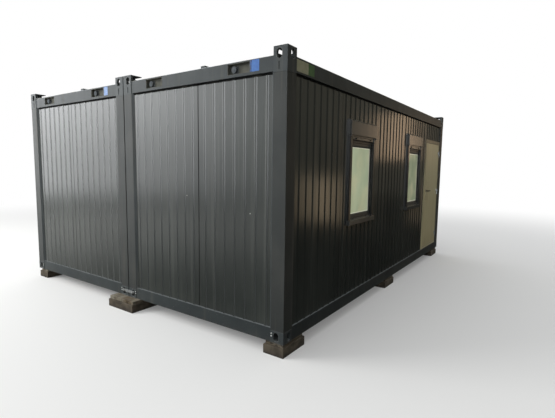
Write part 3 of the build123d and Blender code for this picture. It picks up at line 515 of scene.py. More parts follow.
dress(galvanised("joist_steel", 0.6), "floor_joists", "underfloor_sheets")
vinyl, finish = new_finish("vinyl_floor")
x = places(finish)[0]
flecks = cloud(finish, 380, detail=1) > 0.6
seam = finish.maths("PINGPONG", x + 5, VINYL_WIDTH / 2).between(0.004, 0.0)
scuffed = cloud(finish, 4, (0.5, 1, 1), detail=6)
trodden = scuffed.blend(VINYL_GREY, VINYL_SCUFFED)
surface(finish, {
    "Base Color": (flecks * 0.4 + seam * 0.5).blend(trodden, VINYL_FLECK),
    "Roughness": 0.4 + scuffed * 0.25,
    "Normal": relief(finish, cloud(finish, 300) - seam, 0.0005),
})
dress(vinyl, "near_floor", "far_floor")


# Ceiling: white-faced chipboard panels, 1.2 m wide, pressed into the roof frame with a fine open joint.
# The face is a printed foil, with a faint stipple.
CEILING_WHITE = screen_colour(226, 227, 222)
CEILING_DARK = screen_colour(120, 118, 110)
CEILING_WIDTH = 1.2

ceiling_foil, finish = new_finish("ceiling_foil")
x = places(finish)[0]
stipple = cloud(finish, 220, detail=2)
open_joint = finish.maths("PINGPONG", x + 6, CEILING_WIDTH / 2).between(0.003, 0.0)
surface(finish, {
    "Base Color": (open_joint * 0.8 + stipple * 0.08).blend(CEILING_WHITE, CEILING_DARK),
    "Roughness": 0.62,
    "Normal": relief(finish, stipple * 0.3 - open_joint, 0.0008),
})
dress(ceiling_foil, "ceiling_panels")


# Roof: one galvanised sheet on each module, folded into standing seams and riveted along its edges.
# Caps close the ends of the middle seams, and the rain leaves stains on the sheets.
ROOF_TOP = 2.863
ROOF_RIVET_LINES = (2.425, 0.105)
RIVETS_REACH = 2.80
RIVET_PITCH = 0.15
RIVET_HEAD = [(0, 0.006), (0.0015, 0.0055), (0.003, 0.003)]

dress(galvanised("roof_steel", 0.75), "near_roof_sheet", "far_roof_sheet")
dress(frame_paint("roof_cap_paint"), "roof_end_caps")
rivets = bmesh.new()
for side in (-1, 1):
    for line in ROOF_RIVET_LINES:
        for number in range(int(2 * RIVETS_REACH / RIVET_PITCH) + 1):
            spot = (number * RIVET_PITCH - RIVETS_REACH, side * line, ROOF_TOP - 0.0004)
            turned(rivets, spot, (0, 0, 1), RIVET_HEAD, sides=8)
add_piece("roof_rivets", rivets, zinc)


# Wall panels: sandwich panels with ribbed steel faces on a mineral core, joined tongue in groove.
# The outer face is anthracite coil coating, the inner face white; they stand in the rails' ledges.
INNER_END = 2.9446
INNER_SIDE = 2.3586
SEAM_PITCH = 1.146
SIDE_SEAM = -2.975
END_SEAM = 1.285
END_LAYOUT = 2.431
RIB_FIRST = 0.088
RIB_PITCH = 0.1375
RIB_CROWN = 0.020
BEND_SHARPNESS = 0.1
CROWN_ROUNDING = 0.16
FAR_DISHING = 1.3
NEAR_SOFTENING = 0.15
COIL_GREY = screen_colour(48, 52, 50)
COIL_FADED = screen_colour(61, 65, 62)
COIL_WHITE = screen_colour(224, 225, 220)
WATER_MARK = screen_colour(126, 128, 122)
SPECK_WHITE = screen_colour(196, 196, 188)
SEAM_DARK = screen_colour(14, 15, 15)
FLANK_PAINTED_LIGHT = screen_colour(84, 88, 87)
FLANK_PAINTED_LIGHT_FAR = screen_colour(126, 129, 127)

panel_coat, finish = new_finish("panel_coating")
x, y, z = places(finish)
inside = (abs(x) < INNER_END) * (abs(y) < INNER_SIDE)
rain = cloud(finish, 9, (1, 1, 0.035), detail=5)
fine_rain = cloud(finish, 60, (1, 1, 0.02), detail=3)
patches = cloud(finish, 1.1, (1, 1, 0.6), detail=4)
swell = cloud(finish, 1.6, (1, 1, 0.45), detail=1)
splash = (z + 0.3 * cloud(finish, 7)).between(0.62, 0.3) * 0.06
marks = rain.between(0.54, 0.74) * 0.12 + fine_rain.between(0.56, 0.7) * 0.05 + splash
specks = (cells(finish, 2.6) < 0.018) * z.between(0.9, 1.1) * z.between(1.9, 1.6)
coat = patches.between(0.3, 0.72).blend(COIL_GREY, COIL_FADED)
outside_colour = (specks * 0.8).blend(marks.blend(coat, WATER_MARK), SPECK_WHITE)

# The seams are dark lines: one at each panel's width along the sides, and one in each module's end wall.
on_end = abs(x) > 2.9
from_side_seam = finish.maths("PINGPONG", x - SIDE_SEAM + 6 * SEAM_PITCH, SEAM_PITCH / 2)
from_seam = from_side_seam + on_end * (abs(abs(y) - END_SEAM) - from_side_seam)

# On the end walls, painted light makes the ribs' flanks that face the near side paler, more so on the far
# module.
facing_x, facing_y, facing_z = places(finish, "Normal")
painted_light_flank = facing_y.between(-0.4, -0.6) * abs(facing_x).between(0.4, 0.6) * on_end
outside_colour = painted_light_flank.blend(outside_colour, (y > 0).blend(FLANK_PAINTED_LIGHT, FLANK_PAINTED_LIGHT_FAR))
outside_colour = (from_seam < 0.003).blend(outside_colour, SEAM_DARK)

# The bends are softened along the sides. At the ends, the ribs' crowns are rounded, or dished if far.
from_first_rib = finish.maths("WRAP", END_LAYOUT - abs(y), SEAM_PITCH, 0) - RIB_FIRST
from_rib = finish.maths("WRAP", from_first_rib, RIB_PITCH / 2, -RIB_PITCH / 2)
on_crown = (abs(from_rib) < RIB_CROWN / 2) * on_end
rounding = on_crown * from_rib * (1 - (y > 0) * FAR_DISHING) * (CROWN_ROUNDING / RIB_CROWN * 2)
eased = finish.node("CombineXYZ", sockets={
    "X": facing_x * (BEND_SHARPNESS + on_end * (1 - BEND_SHARPNESS)),
    "Y": facing_y * (1 - on_end * (y < 0) * NEAR_SOFTENING) + rounding,
    "Z": facing_z,
})
eased = finish.node("VectorMath", {"operation": "NORMALIZE"}, {0: eased})
surface(finish, {
    "Base Color": inside.blend(outside_colour, COIL_WHITE),
    "Roughness": 0.17 + rain * 0.05 + marks * 0.3,
    "Specular IOR Level": 0.45,
    "Normal": relief(finish, swell + cloud(finish, 500) * 0.003, 0.003, Normal=eased),
})
dress(
    panel_coat,
    "near_left_end_wall", "near_right_end_wall", "far_left_end_wall", "far_right_end_wall",
    "back_wall", "front_plain_panels", "window_panels", "over_door_panel", "door_side_panel",
)


# Closing strips: folded steel angles that cover the joints between the end walls' panels and the posts.
# They are painted with the frame, and stand from the lower rail to the upper one.
WALL_FACE = 3.004
POST_FACE = 3.027
STRIP_WIDTH = 0.024
STRIP_THICKNESS = 0.0012
STRIP_SPAN = (0.2775, 2.7225)

closing_strips = bmesh.new()
for end, edge, inward in CORNERS:
    post_side = edge + inward * CASTING_SIDE
    outline = [
        (end * (WALL_FACE - 0.001), post_side - inward * 0.0005),
        (end * (WALL_FACE - 0.001), post_side + inward * STRIP_WIDTH),
        (end * (WALL_FACE + STRIP_THICKNESS), post_side + inward * STRIP_WIDTH),
        (end * (POST_FACE - 0.001), post_side + inward * 0.001),
        (end * (POST_FACE - 0.001), post_side - inward * 0.0005),
    ]
    skin(closing_strips, [
        [closing_strips.verts.new((*point, level)) for point in outline] for level in STRIP_SPAN
    ])
add_piece("closing_strips", closing_strips, rail_paint)


# Seals: soft black strips, between the panels' tops and the roof rails, and in the end walls' joints.
# They are foam rubber, matt and dusty, and the far module's joint is pinched closer than the near one's.
JOINT_GASKETS = ((-1, 0.010), (1, 0.004))


def soft_rubber(name, colour, dusty):
    """Black rubber with a matt skin and dust in its pores."""
    material, finish = new_finish(name)
    pores = cloud(finish, 90, detail=4)
    dust = cloud(finish, 7, detail=5).between(0.45, 0.7) * dusty
    surface(finish, {
        "Base Color": dust.blend(screen_colour(*colour), ROAD_DUST),
        "Roughness": 0.75 + pores * 0.15,
        "Specular IOR Level": 0.1,
        "Normal": relief(finish, pores, 0.0008),
    })
    return material


dress(soft_rubber("seal_rubber", (24, 25, 25), 0.16), "head_seals", "joint_seals")
panel_gaskets = bmesh.new()
for end in (-1, 1):
    x_low, x_high = sorted((end * (WALL_FACE - 0.003), end * (WALL_FACE + 0.0015)))
    for side, width in JOINT_GASKETS:
        low = (x_low, side * END_SEAM - width / 2, STRIP_SPAN[0])
        slab(panel_gaskets, low, (x_high, side * END_SEAM + width / 2, STRIP_SPAN[1] - 0.002), 0.001)
gasket_matt = soft_rubber("panel_gasket_black", (10, 10, 10), 0.02)
add_piece("panel_gaskets", panel_gaskets, gasket_matt)


# Windows: plastic frames and sashes with an anthracite foil outside and white inside, and insulated panes.
# The frame is screwed in the panel's cut-out; gaskets hold the pane, and two caps hide the frame's drains.
WINDOW_STARTS = (-1.661, 0.631)
WINDOW_WIDTH = 0.810
BETWEEN_WINDOWS = -0.110
PANE_INSET = 0.084
PANE_BOTTOM = 1.267
PANE_TOP = 2.114
PANE_FACE = -2.404
SPACER_EDGES = (0.022, 0.018)
SASH_INSET = 0.038
SASH_BOTTOM = 1.221
SASH_TOP = 2.160
SASH_FACE = -2.414
FRAME_FACE = -2.422
DRAIN_LEVEL = 1.215
DRAIN_SHARES = (0.25, 0.75)
DRAIN_CAP_HALF = (0.016, 0.0045)
FOIL_GREY = screen_colour(50, 51, 52)
FOIL_FADED = screen_colour(64, 65, 64)
FOIL_INSIDE = screen_colour(228, 229, 226)

window_foil, finish = new_finish("window_foil")
leather = cloud(finish, 240, (1, 1, 0.25), detail=3)
indoors = places(finish)[1] > -2.368
faded = cloud(finish, 3, detail=4).blend(FOIL_GREY, FOIL_FADED)
surface(finish, {
    "Base Color": indoors.blend(faded, FOIL_INSIDE),
    "Roughness": 0.38 + leather * 0.14,
    "Specular IOR Level": 0.4,
    "Normal": relief(finish, leather, 0.0004),
})
dress(window_foil, "window_frames", "window_sashes")

GLASS_GREEN_AND_SKY = screen_colour(214, 226, 196)
GLASS_DEEP_AND_SKY = screen_colour(186, 200, 168)
GLASS_WARM_REFLECTION = screen_colour(232, 226, 190)
GLASS_SHADED = screen_colour(158, 172, 142)
SPACER_PALE = screen_colour(240, 242, 220)

pane_glass, finish = new_finish("pane_glass")
x, _, z = places(finish)
across = abs(abs(x - BETWEEN_WINDOWS) - SEAM_PITCH)
half_width = WINDOW_WIDTH / 2 - PANE_INSET
half_height = (PANE_TOP - PANE_BOTTOM) / 2
upward = abs(z - (PANE_BOTTOM + PANE_TOP) / 2)
edge_side = across.between(*(half_width - edge for edge in SPACER_EDGES))
edge_level = upward.between(*(half_height - edge for edge in SPACER_EDGES))
spacer = finish.maths("MAXIMUM", edge_side, edge_level)
# The panes' pale green and its blotches are painted reflection of the sky and trees.
reflection_blotches = cloud(finish, 2.6, (1, 1, 0.6), detail=4)
washed = cloud(finish, 16, (1, 1, 0.1), detail=3)
sky_tint = reflection_blotches.between(0.25, 0.75).blend(GLASS_DEEP_AND_SKY, GLASS_GREEN_AND_SKY)
# The panes of the window nearer the door are painted darker, as painted shade.
sky_tint = (x > 0).blend(sky_tint, GLASS_SHADED)
# The warm patches are a painted warm reflection.
warm_reflection = cloud(finish, 3.4, (1, 1, 0.8), detail=2).between(0.36, 0.72)
reflection_and_spacer = spacer.blend((warm_reflection * 0.5).blend(sky_tint, GLASS_WARM_REFLECTION), SPACER_PALE)
# The panes and their spacers glow faintly in their own colour: a painted glow of daylight from the room.
surface(finish, {
    "Base Color": reflection_and_spacer,
    "Roughness": 0.08 + washed * 0.12,
    "IOR": 1.5,
    "Transmission Weight": 0.15,
    "Emission Color": reflection_and_spacer,
    "Emission Strength": 0.27,
    "Normal": relief(finish, cloud(finish, 2), 0.002),
})
dress(pane_glass, "window_panes")


def mitred_ring(form, low, high, width, back, front, crown):
    """Add a ring with mitred corners in a wall along X, from its outer (x, z) corners and depths in Y."""
    loops = []
    for share, depth in ((0, back), (0, front + crown), (0.5, front), (1, front + crown), (1, back)):
        left, bottom = (side + width * share for side in low)
        right, top = (side - width * share for side in high)
        corners = ((left, bottom), (right, bottom), (right, top), (left, top))
        loops.append([form.verts.new((x_corner, depth, z_corner)) for x_corner, z_corner in corners])
    skin(form, loops + loops[:1], capped=False)


pane_gaskets = bmesh.new()
pane_beads = bmesh.new()
sash_gaskets = bmesh.new()
drain_caps = bmesh.new()
for start in WINDOW_STARTS:
    for form, inset, bottom, top, outside, width, face, raised, crown in (
        (pane_gaskets, PANE_INSET, PANE_BOTTOM, PANE_TOP, 0, 0.007, PANE_FACE, 0.003, 0.001),
        (pane_beads, PANE_INSET, PANE_BOTTOM, PANE_TOP, 0.014, 0.013, SASH_FACE, 0.004, 0.003),
        (sash_gaskets, SASH_INSET, SASH_BOTTOM, SASH_TOP, 0.002, 0.005, SASH_FACE, 0.0025, 0.001),
    ):
        low = (start + inset - outside, bottom - outside)
        high = (start + WINDOW_WIDTH - inset + outside, top + outside)
        mitred_ring(form, low, high, width, face + 0.001, face - raised, crown)
    for share in DRAIN_SHARES:
        middle = start + WINDOW_WIDTH * share
        half_wide, half_high = DRAIN_CAP_HALF
        low = (middle - half_wide, FRAME_FACE - 0.004, DRAIN_LEVEL - half_high)
        slab(drain_caps, low, (middle + half_wide, FRAME_FACE + 0.001, DRAIN_LEVEL + half_high), 0.0015)
gasket_black = soft_rubber("gasket_black", (18, 18, 19), 0.08)
add_piece("pane_gaskets", pane_gaskets, gasket_black)
add_piece("pane_beads", pane_beads, window_foil)
add_piece("sash_gaskets", sash_gaskets, gasket_black)
drain_black = moulded_plastic("drain_cap_black", (30, 31, 32), (48, 48, 48), 0.5)
add_piece("drain_caps", drain_caps, drain_black)


# Roller shutters: a sheet-metal box over each window, side guides, a folded sill, and the lowest slats.
# They are powder-coated aluminium, screwed to the frame; the rest of the curtain is rolled up in the box.
BOX_BOTTOM = 2.248
BOX_FACE = -2.462
GUIDE_FACE = -2.452
GUIDE_INSET = 0.008
GUIDE_WIDTH = 0.052
GUIDE_BOTTOM = 1.209
SLATS_BOTTOM = 2.192
SLAT_FACE = -2.442
BOX_TRIMS = ((BOX_BOTTOM + 0.002, BOX_BOTTOM + 0.010, 0.0015), (2.400, 2.405, 0.001))
BOX_SCREW_LEVELS = (BOX_BOTTOM + 0.03, BOX_BOTTOM + 0.13)
GUIDE_SCREW_LEVELS = (1.32, 1.70, 2.10)
STOP_INSET = 0.063
STOP_KNOBS = (0.22, 0.78)
KNOB = [(0, 0.009), (0.008, 0.0085), (0.011, 0.006)]
TRIM_INSET = 0.017
BOX_SCREW_INSET = 0.008
GUIDE_SCREW_INSET = 0.026
PAN_HEAD = [(0, 0.0043), (0.0012, 0.004), (0.0023, 0.002)]


def powder_coating(name, grey, faded):
    """Dull powder coating with orange peel, rain streaks, and dust where it faces up."""
    material, finish = new_finish(name)
    up = places(finish, "Normal")[2]
    peel = cloud(finish, 500, detail=2)
    rain = cloud(finish, 20, (1, 1, 0.05), detail=4)
    settled = up.between(0.3, 0.9) * 0.35 + rain.between(0.55, 0.75) * 0.06
    coat = cloud(finish, 3, detail=4).blend(screen_colour(*grey), screen_colour(*faded))
    surface(finish, {
        "Base Color": settled.blend(coat, ROAD_DUST),
        "Roughness": 0.2 + rain * 0.08,
        "Specular IOR Level": 0.45,
        "Normal": relief(finish, peel * 0.02 + cloud(finish, 4) * 0.8, 0.0012),
    })
    return material


powder_coat = powder_coating("shutter_powder_coat", (60, 62, 62), (76, 77, 75))
dress(powder_coat, "shutter_boxes", "shutter_end_slats", "window_sills")
# The guides get a darker copy of the shutters' coating, as painted shade.
dress(powder_coating("guide_coat_painted_shade", (30, 31, 31), (40, 41, 40)), "shutter_guides")

window_screws = bmesh.new()
box_trims = bmesh.new()
guide_brushes = bmesh.new()
slat_stops = bmesh.new()
for start in WINDOW_STARTS:
    end = start + WINDOW_WIDTH
    for bottom, top, proud in BOX_TRIMS:
        low = (start + TRIM_INSET, BOX_FACE - proud, bottom)
        slab(box_trims, low, (end - TRIM_INSET, BOX_FACE + 0.001, top), 0.0004)
    for edge in (start + BOX_SCREW_INSET, end - BOX_SCREW_INSET):
        for level in BOX_SCREW_LEVELS:
            turned(window_screws, (edge, BOX_FACE + 0.0005, level), (0, -1, 0), PAN_HEAD, 12)
    for edge in (start + GUIDE_SCREW_INSET, end - GUIDE_SCREW_INSET):
        for level in GUIDE_SCREW_LEVELS:
            turned(window_screws, (edge, GUIDE_FACE + 0.0005, level), (0, -1, 0), PAN_HEAD, 12)
    inner_edge = GUIDE_INSET + GUIDE_WIDTH
    for left in (start + inner_edge - 0.002, end - inner_edge - 0.003):
        low = (left, SLAT_FACE - 0.006, GUIDE_BOTTOM + 0.007)
        slab(guide_brushes, low, (left + 0.005, SLAT_FACE - 0.002, SLATS_BOTTOM - 0.008), 0.001)
    low = (start + STOP_INSET, SLAT_FACE - 0.0015, SLATS_BOTTOM - 0.004)
    slab(slat_stops, low, (end - STOP_INSET, SLAT_FACE + 0.0115, SLATS_BOTTOM + 0.003), 0.0015)
    for share in STOP_KNOBS:
        seat = (start + WINDOW_WIDTH * share, SLAT_FACE + 0.0005, SLATS_BOTTOM + 0.016)
        turned(slat_stops, seat, (0, -1, 0), KNOB, 16)
add_piece("shutter_box_trims", box_trims, powder_coat)
add_piece("window_screws", window_screws, drain_black)
add_piece("guide_brushes", guide_brushes, gasket_black)
add_piece("slat_stops", slat_stops, gasket_black)


# Door: a steel frame with a rubber gasket on its stop, and a smooth steel leaf on three lift-off hinges.
# The leaf is powder coated, dulled by hands round the lever and by boots and rain at its foot.
STOP_FACE = -2.376
CLEAR_LEFT = 1.869
CLEAR_RIGHT = 2.814
CLEAR_BOTTOM = 0.305
CLEAR_TOP = 2.352
LEVER_X = 1.929
LEVER_Z = 1.424
TREAD_COUNT = 5
TREAD_FIRST = -2.424
TREAD_PITCH = 0.009
TREAD_WIDTH = 0.005
TREAD_LEVELS = (0.3045, 0.3072)
CREAM = screen_colour(207, 197, 156)
CREAM_LIGHT = screen_colour(222, 213, 171)
CREAM_GRIME = screen_colour(140, 126, 96)
FRAME_PAINTED_SHADE = screen_colour(62, 60, 50)

leaf_paint, finish = new_finish("leaf_paint")
x, _, z = places(finish)
rain = cloud(finish, 12, (1, 1, 0.05), detail=4)
from_hand_x, from_hand_z = x - (LEVER_X + 0.06), z - (LEVER_Z - 0.02)
near_hand = finish.maths("SQRT", from_hand_x * from_hand_x + from_hand_z * from_hand_z * 0.4)
handled = near_hand.between(0.24, 0.05) * cloud(finish, 18, detail=5).between(0.35, 0.65) * 0.3
foot = (z + 0.3 * cloud(finish, 6)).between(0.85, 0.42) * 0.3
grime = handled + foot + rain.between(0.55, 0.75) * 0.14
cream = cloud(finish, 2, (1, 1, 0.4), detail=4).blend(CREAM, CREAM_LIGHT)
surface(finish, {
    "Base Color": grime.blend(cream, CREAM_GRIME),
    "Roughness": 0.3 + rain * 0.15 + grime * 0.3,
    "Normal": relief(finish, cloud(finish, 2.5) + cloud(finish, 450) * 0.03, 0.003),
})
dress(leaf_paint, "door_leaf")

door_frame_paint, finish = new_finish("door_frame_paint")
x, _, z = places(finish)
runs = cloud(finish, 18, (1, 1, 0.06), detail=4)
# Painted shade darkens the cream frame towards its top and along its right edge, over streaks of dirt runs.
painted_shade_top = (z + 0.25 * runs).between(1.5, 2.5) * 0.75
painted_shade_right = x.between(2.81, 2.83) * 0.85
top_shade_and_runs = painted_shade_top + runs.between(0.5, 0.72) * 0.15
sides = finish.maths("MAXIMUM", top_shade_and_runs, painted_shade_right)
surface(finish, {
    "Base Color": sides.blend(CREAM, FRAME_PAINTED_SHADE),
    "Roughness": 0.34 + runs * 0.15,
    "Normal": relief(finish, cloud(finish, 3) + cloud(finish, 450) * 0.02, 0.002),
})
dress(door_frame_paint, "door_frame")

door_gasket = bmesh.new()
mitred_ring(
    door_gasket, (CLEAR_LEFT + 0.002, CLEAR_BOTTOM + 0.002), (CLEAR_RIGHT - 0.002, CLEAR_TOP - 0.002),
    width=0.010, back=STOP_FACE + 0.001, front=STOP_FACE - 0.0042, crown=0.0015,
)
add_piece("door_gasket", door_gasket, gasket_black)
threshold = bmesh.new()
for step in range(TREAD_COUNT):
    y_low = TREAD_FIRST + step * TREAD_PITCH
    low = (CLEAR_LEFT + 0.004, y_low, TREAD_LEVELS[0])
    slab(threshold, low, (CLEAR_RIGHT - 0.004, y_low + TREAD_WIDTH, TREAD_LEVELS[1]), 0.001)
add_piece("threshold_ribs", threshold, galvanised("threshold_steel", 0.5))


# Door furniture: zinc hinges with countersunk screws, long cream plates, and a round black lever.
# The plates are bolted through the leaf; the lever turns on a spring in the outer plate.
HINGE_LEVELS = (0.470, 1.370, 2.150)
HINGE_X = 2.8115
FRAME_PLATE_FACE = -2.431
LEAF_PLATE_FACE = -2.429
HINGE_SCREWS = ((-0.018, 0.030), (0, 0.020), (0.018, 0.030))
PLATE_FACES = ((-2.434, -1), (-2.373, 1))
PLATE_SCREW_LEVELS = (LEVER_Z - 0.177, LEVER_Z + 0.027)
LOCK_LEVEL = LEVER_Z - 0.072
LOCK_FACE = [(0.0038, 0.0085), (0.0045, 0.0078)]
SCREW = [(0, 0.0042), (0.0008, 0.004), (0.0011, 0.0022)]
LEVER_ROOTS = ((-2.4343, -1), (-2.3727, 1))
LEVER_RADIUS = 0.0098
LEVER_NECK = 0.030
LEVER_BEND = 0.016
LEVER_OUT = 0.046
LEVER_REACH = 0.135
LEVER_SIDES = 20
LEVER_ROSE = [(0, 0.0125), (0.003, 0.0125), (0.005, 0.0105)]
SPINDLE = [(0, 0.0068), (0.0616, 0.0068)]

dress(galvanised("hinge_zinc", 0.4), "frame_hinges", "leaf_hinges")
for name, body, face, side, offset in (
    ("frame_hinge_screws", "cabin", FRAME_PLATE_FACE, 1, -0.0275),
    ("leaf_hinge_screws", "door", LEAF_PLATE_FACE, -1, 0.029),
):
    screws = bmesh.new()
    for hinge_level in HINGE_LEVELS:
        for above, reach in HINGE_SCREWS:
            spot = (HINGE_X + side * reach, face + 0.0001, hinge_level + offset + above)
            turned(screws, spot, (0, -1, 0), SCREW, sides=12)
    add_piece(name, screws, zinc, body)

handle_black = moulded_plastic("handle_black", (22, 22, 22), (40, 40, 39), 0.4)
dress(moulded_plastic("plate_cream", (190, 182, 148), (206, 198, 164), 0.4), "door_plates")
plate_details = bmesh.new()
for face, outward in PLATE_FACES:
    for level in PLATE_SCREW_LEVELS:
        turned(plate_details, (LEVER_X, face, level), (0, outward, 0), SCREW, sides=12)
    turned(plate_details, (LEVER_X, face, LOCK_LEVEL), (0, outward, 0), LOCK_FACE)
add_piece("plate_screws", plate_details, zinc, "door")

lever_line = [(0, outwards, LEVER_RADIUS) for outwards in (0, 0.020, LEVER_NECK)]
for step in range(1, 8):
    bend = math.pi / 2 * step / 8
    across, outwards = LEVER_BEND * (1 - math.cos(bend)), LEVER_NECK + LEVER_BEND * math.sin(bend)
    lever_line.append((across, outwards, LEVER_RADIUS))
lever_line += [(across, LEVER_OUT, LEVER_RADIUS) for across in (LEVER_BEND, 0.05, 0.09, 0.124)]
for rounding in (0.35, 0.8, 1.2, 1.5):
    across = LEVER_REACH - 0.010 + 0.009 * math.sin(rounding)
    lever_line.append((across, LEVER_OUT, LEVER_RADIUS * math.cos(rounding)))

lever = bmesh.new()
upright = Vector((0, 0, 1))
for root, outward in LEVER_ROOTS:
    middles = [Vector((across, outward * outwards, 0)) for across, outwards, _ in lever_line]
    rings = []
    for number, (middle, (_, _, radius)) in enumerate(zip(middles, lever_line)):
        ahead = middles[min(number + 1, len(middles) - 1)] - middles[max(number - 1, 0)]
        level_spoke = upright.cross(ahead.normalized())
        ring = []
        for side in range(LEVER_SIDES):
            turn = math.tau * side / LEVER_SIDES
            spoke = math.cos(turn) * level_spoke + math.sin(turn) * upright
            ring.append(lever.verts.new(Vector((LEVER_X, root, LEVER_Z)) + middle + radius * spoke))
        rings.append(ring)
    skin(lever, rings)
    turned(lever, (LEVER_X, root, LEVER_Z), (0, outward, 0), LEVER_ROSE, sides=24)
turned(lever, (LEVER_X, LEVER_ROOTS[0][0], LEVER_Z), (0, 1, 0), SPINDLE, sides=12)
lever_piece = add_piece("lever_pair", lever, handle_black, "handle")
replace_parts(lever_piece, "door_handle")


# Joint between the modules: a galvanised clamp bolted over the lower castings at each end.
# A folded cover is screwed over the gap in the roof; white trims cover it inside.
CLAMP_FACE = 3.037
CLAMP_LEVEL = 0.210
CLAMP_BOLT = 0.095
CLAMP_WASHER = [(0, 0.0165), (0.0025, 0.0165), (0.003, 0.0155)]
CLAMP_STUD = [(0.009, 0.0062), (0.0155, 0.0062), (0.0170, 0.0050)]
COVER_TOP = 2.8656
COVER_SCREW_COUNT = 15
COVER_SCREW_START = -2.80
COVER_SCREW_PITCH = 0.40
COVER_SCREW_SIDE = 0.07

dress(galvanised("clamp_steel", 0.25), "module_clamps")
dress(galvanised("cover_steel", 0.6), "roof_joint_cover")
dress(moulded_plastic("inner_trim_white", (226, 227, 223), (212, 212, 205), 0.4), "inner_joint_trims")
clamp_bolts = bmesh.new()
for end in (-1, 1):
    for side in (-1, 1):
        seat = Vector((end * (CLAMP_FACE - 0.0005), side * CLAMP_BOLT, CLAMP_LEVEL))
        turned(clamp_bolts, seat, (end, 0, 0), CLAMP_WASHER, sides=24)
        turned(clamp_bolts, seat, (end, 0, 0), CLAMP_STUD, sides=16)
for side in (-1, 1):
    for number in range(COVER_SCREW_COUNT):
        spot = (COVER_SCREW_START + number * COVER_SCREW_PITCH, side * COVER_SCREW_SIDE, COVER_TOP)
        hex_bolt(clamp_bolts, spot, (0, 0, 1), radius=0.004, height=0.005)
add_piece("joint_bolts", clamp_bolts, zinc)


# Labels: four weatherproof stickers on the upper rails, left blank, with rounded corners, and a navy strip
# of painted shade beside the near blue one.
# They are plain coloured vinyl, a little faded and scratched, and stuck on the paint.
LABEL_RAISE = 0.0006
END_RAIL_FACE = -3.024
FRONT_RAIL_FACE = -2.438
LABEL_HEIGHT = 0.108
LABEL_BLUE = (44, 92, 160)
LABEL_PALE = (132, 160, 200)
LABEL_FADED = (70, 118, 182)
LABEL_SHADE_NAVY = (24, 34, 64)
LABEL_CREAM = (150, 152, 124)
LABEL_CREAM_WORN = (176, 174, 146)
LABEL_GREEN = (58, 96, 52)
LABEL_GREEN_WORN = (84, 120, 70)


def label(name, on_end_rail, start, end, low, colour, worn_colour):
    """Add a blank sticker on an upper rail's face, along Y on the left end or along X on the front."""
    material, finish = new_finish(name + "_vinyl")
    fading = cloud(finish, 24, detail=5)
    scratches = cloud(finish, 50, (1, 1, 0.1), detail=4).between(0.62, 0.7) * 0.4
    worn = fading.between(0.3, 0.75) * 0.7 + scratches
    surface(finish, {
        "Base Color": worn.blend(screen_colour(*colour), screen_colour(*worn_colour)),
        "Roughness": 0.35 + fading * 0.2,
        "Normal": relief(finish, cloud(finish, 40), 0.0003),
    })
    sticker = bmesh.new()
    high = low + LABEL_HEIGHT
    if on_end_rail:
        slab(sticker, (END_RAIL_FACE - LABEL_RAISE, start, low), (END_RAIL_FACE + 0.0002, end, high))
    else:
        slab(sticker, (start, FRONT_RAIL_FACE - LABEL_RAISE, low), (end, FRONT_RAIL_FACE + 0.0002, high))
    axis = 0 if on_end_rail else 1
    corners = [e for e in sticker.edges if abs((e.verts[0].co - e.verts[1].co)[axis]) > 0.0001]
    bmesh.ops.bevel(sticker, geom=corners, offset=0.006, segments=4, profile=0.5, affect="EDGES")
    add_piece(name, sticker, material)


label("near_blue_label", True, -2.121, -2.031, 2.748, LABEL_BLUE, LABEL_FADED)
# A navy strip of painted shade beside the near blue label.
label("near_navy_label", True, -2.030, -2.010, 2.748, LABEL_SHADE_NAVY, LABEL_BLUE)
label("far_blue_label", True, 0.343, 0.423, 2.746, LABEL_PALE, LABEL_BLUE)
label("cream_label", False, -2.873, -2.653, 2.738, LABEL_CREAM, LABEL_CREAM_WORN)
label("green_label", False, -2.651, -2.536, 2.738, LABEL_GREEN, LABEL_GREEN_WORN)


# Floor of the studio: a plain pale disc that keeps the cabin's shadow and fades to the white behind it.
# It bounces light on the cabin's bright left end only, so that the front stays in shade.
floor_form = bmesh.new()
bmesh.ops.create_circle(floor_form, cap_ends=True, segments=128, radius=24)
floor_mesh = bpy.data.meshes.new("studio_floor")
floor_form.to_mesh(floor_mesh)
floor_form.free()
studio_floor = bpy.data.objects.new("studio_floor", floor_mesh)
bpy.context.collection.objects.link(studio_floor)
FLOOR_PALE = screen_colour(242, 242, 240)
FLOOR_BRIGHT = screen_colour(214, 214, 212)
FLOOR_DULL = screen_colour(104, 102, 98)
FLOOR_SHADED = screen_colour(48, 46, 40)

floor_paint, finish = new_finish("studio_floor")
x, y, _ = places(finish)
far_away = finish.maths("SQRT", x * x + y * y).between(7, 16)
seen = finish.node("LightPath", output="Is Camera Ray")
bounced = x.between(-2.2, -3.6).blend(FLOOR_SHADED, (y - x).between(3, 10).blend(FLOOR_DULL, FLOOR_BRIGHT))
matt = finish.node("BsdfDiffuse", sockets={"Color": seen.blend(bounced, FLOOR_PALE)})
white = finish.node("Emission", sockets={"Color": (1, 1, 1, 1), "Strength": 1.0})
mixed = finish.node("MixShader", sockets={0: (0.15 + far_away * 0.85) * seen, 1: matt, 2: white})
finish.node("OutputMaterial", sockets={"Surface": mixed})
floor_mesh.materials.append(floor_paint)


# Light: a pale studio, bright on the left and dim in front, with one soft window high on the left.
# Shiny faces mirror bright walls on the left and past the far corner, and two warm windows past the door.
BRIGHT_SIDE = Vector((-0.55, 0.72, 0.42)).normalized()
MIRRORED_LEFT = Vector((-0.98, 0.10, 0.15)).normalized()
MIRRORED_FAR = Vector((-0.36, 0.93, 0.10)).normalized()
MIRRORED_NEAR = Vector((-0.90, -0.42, 0.12)).normalized()

studio = bpy.data.worlds.new("studio")
studio.use_nodes = True
studio.node_tree.nodes.clear()
bpy.context.scene.world = studio
sky = Wire(studio.node_tree)


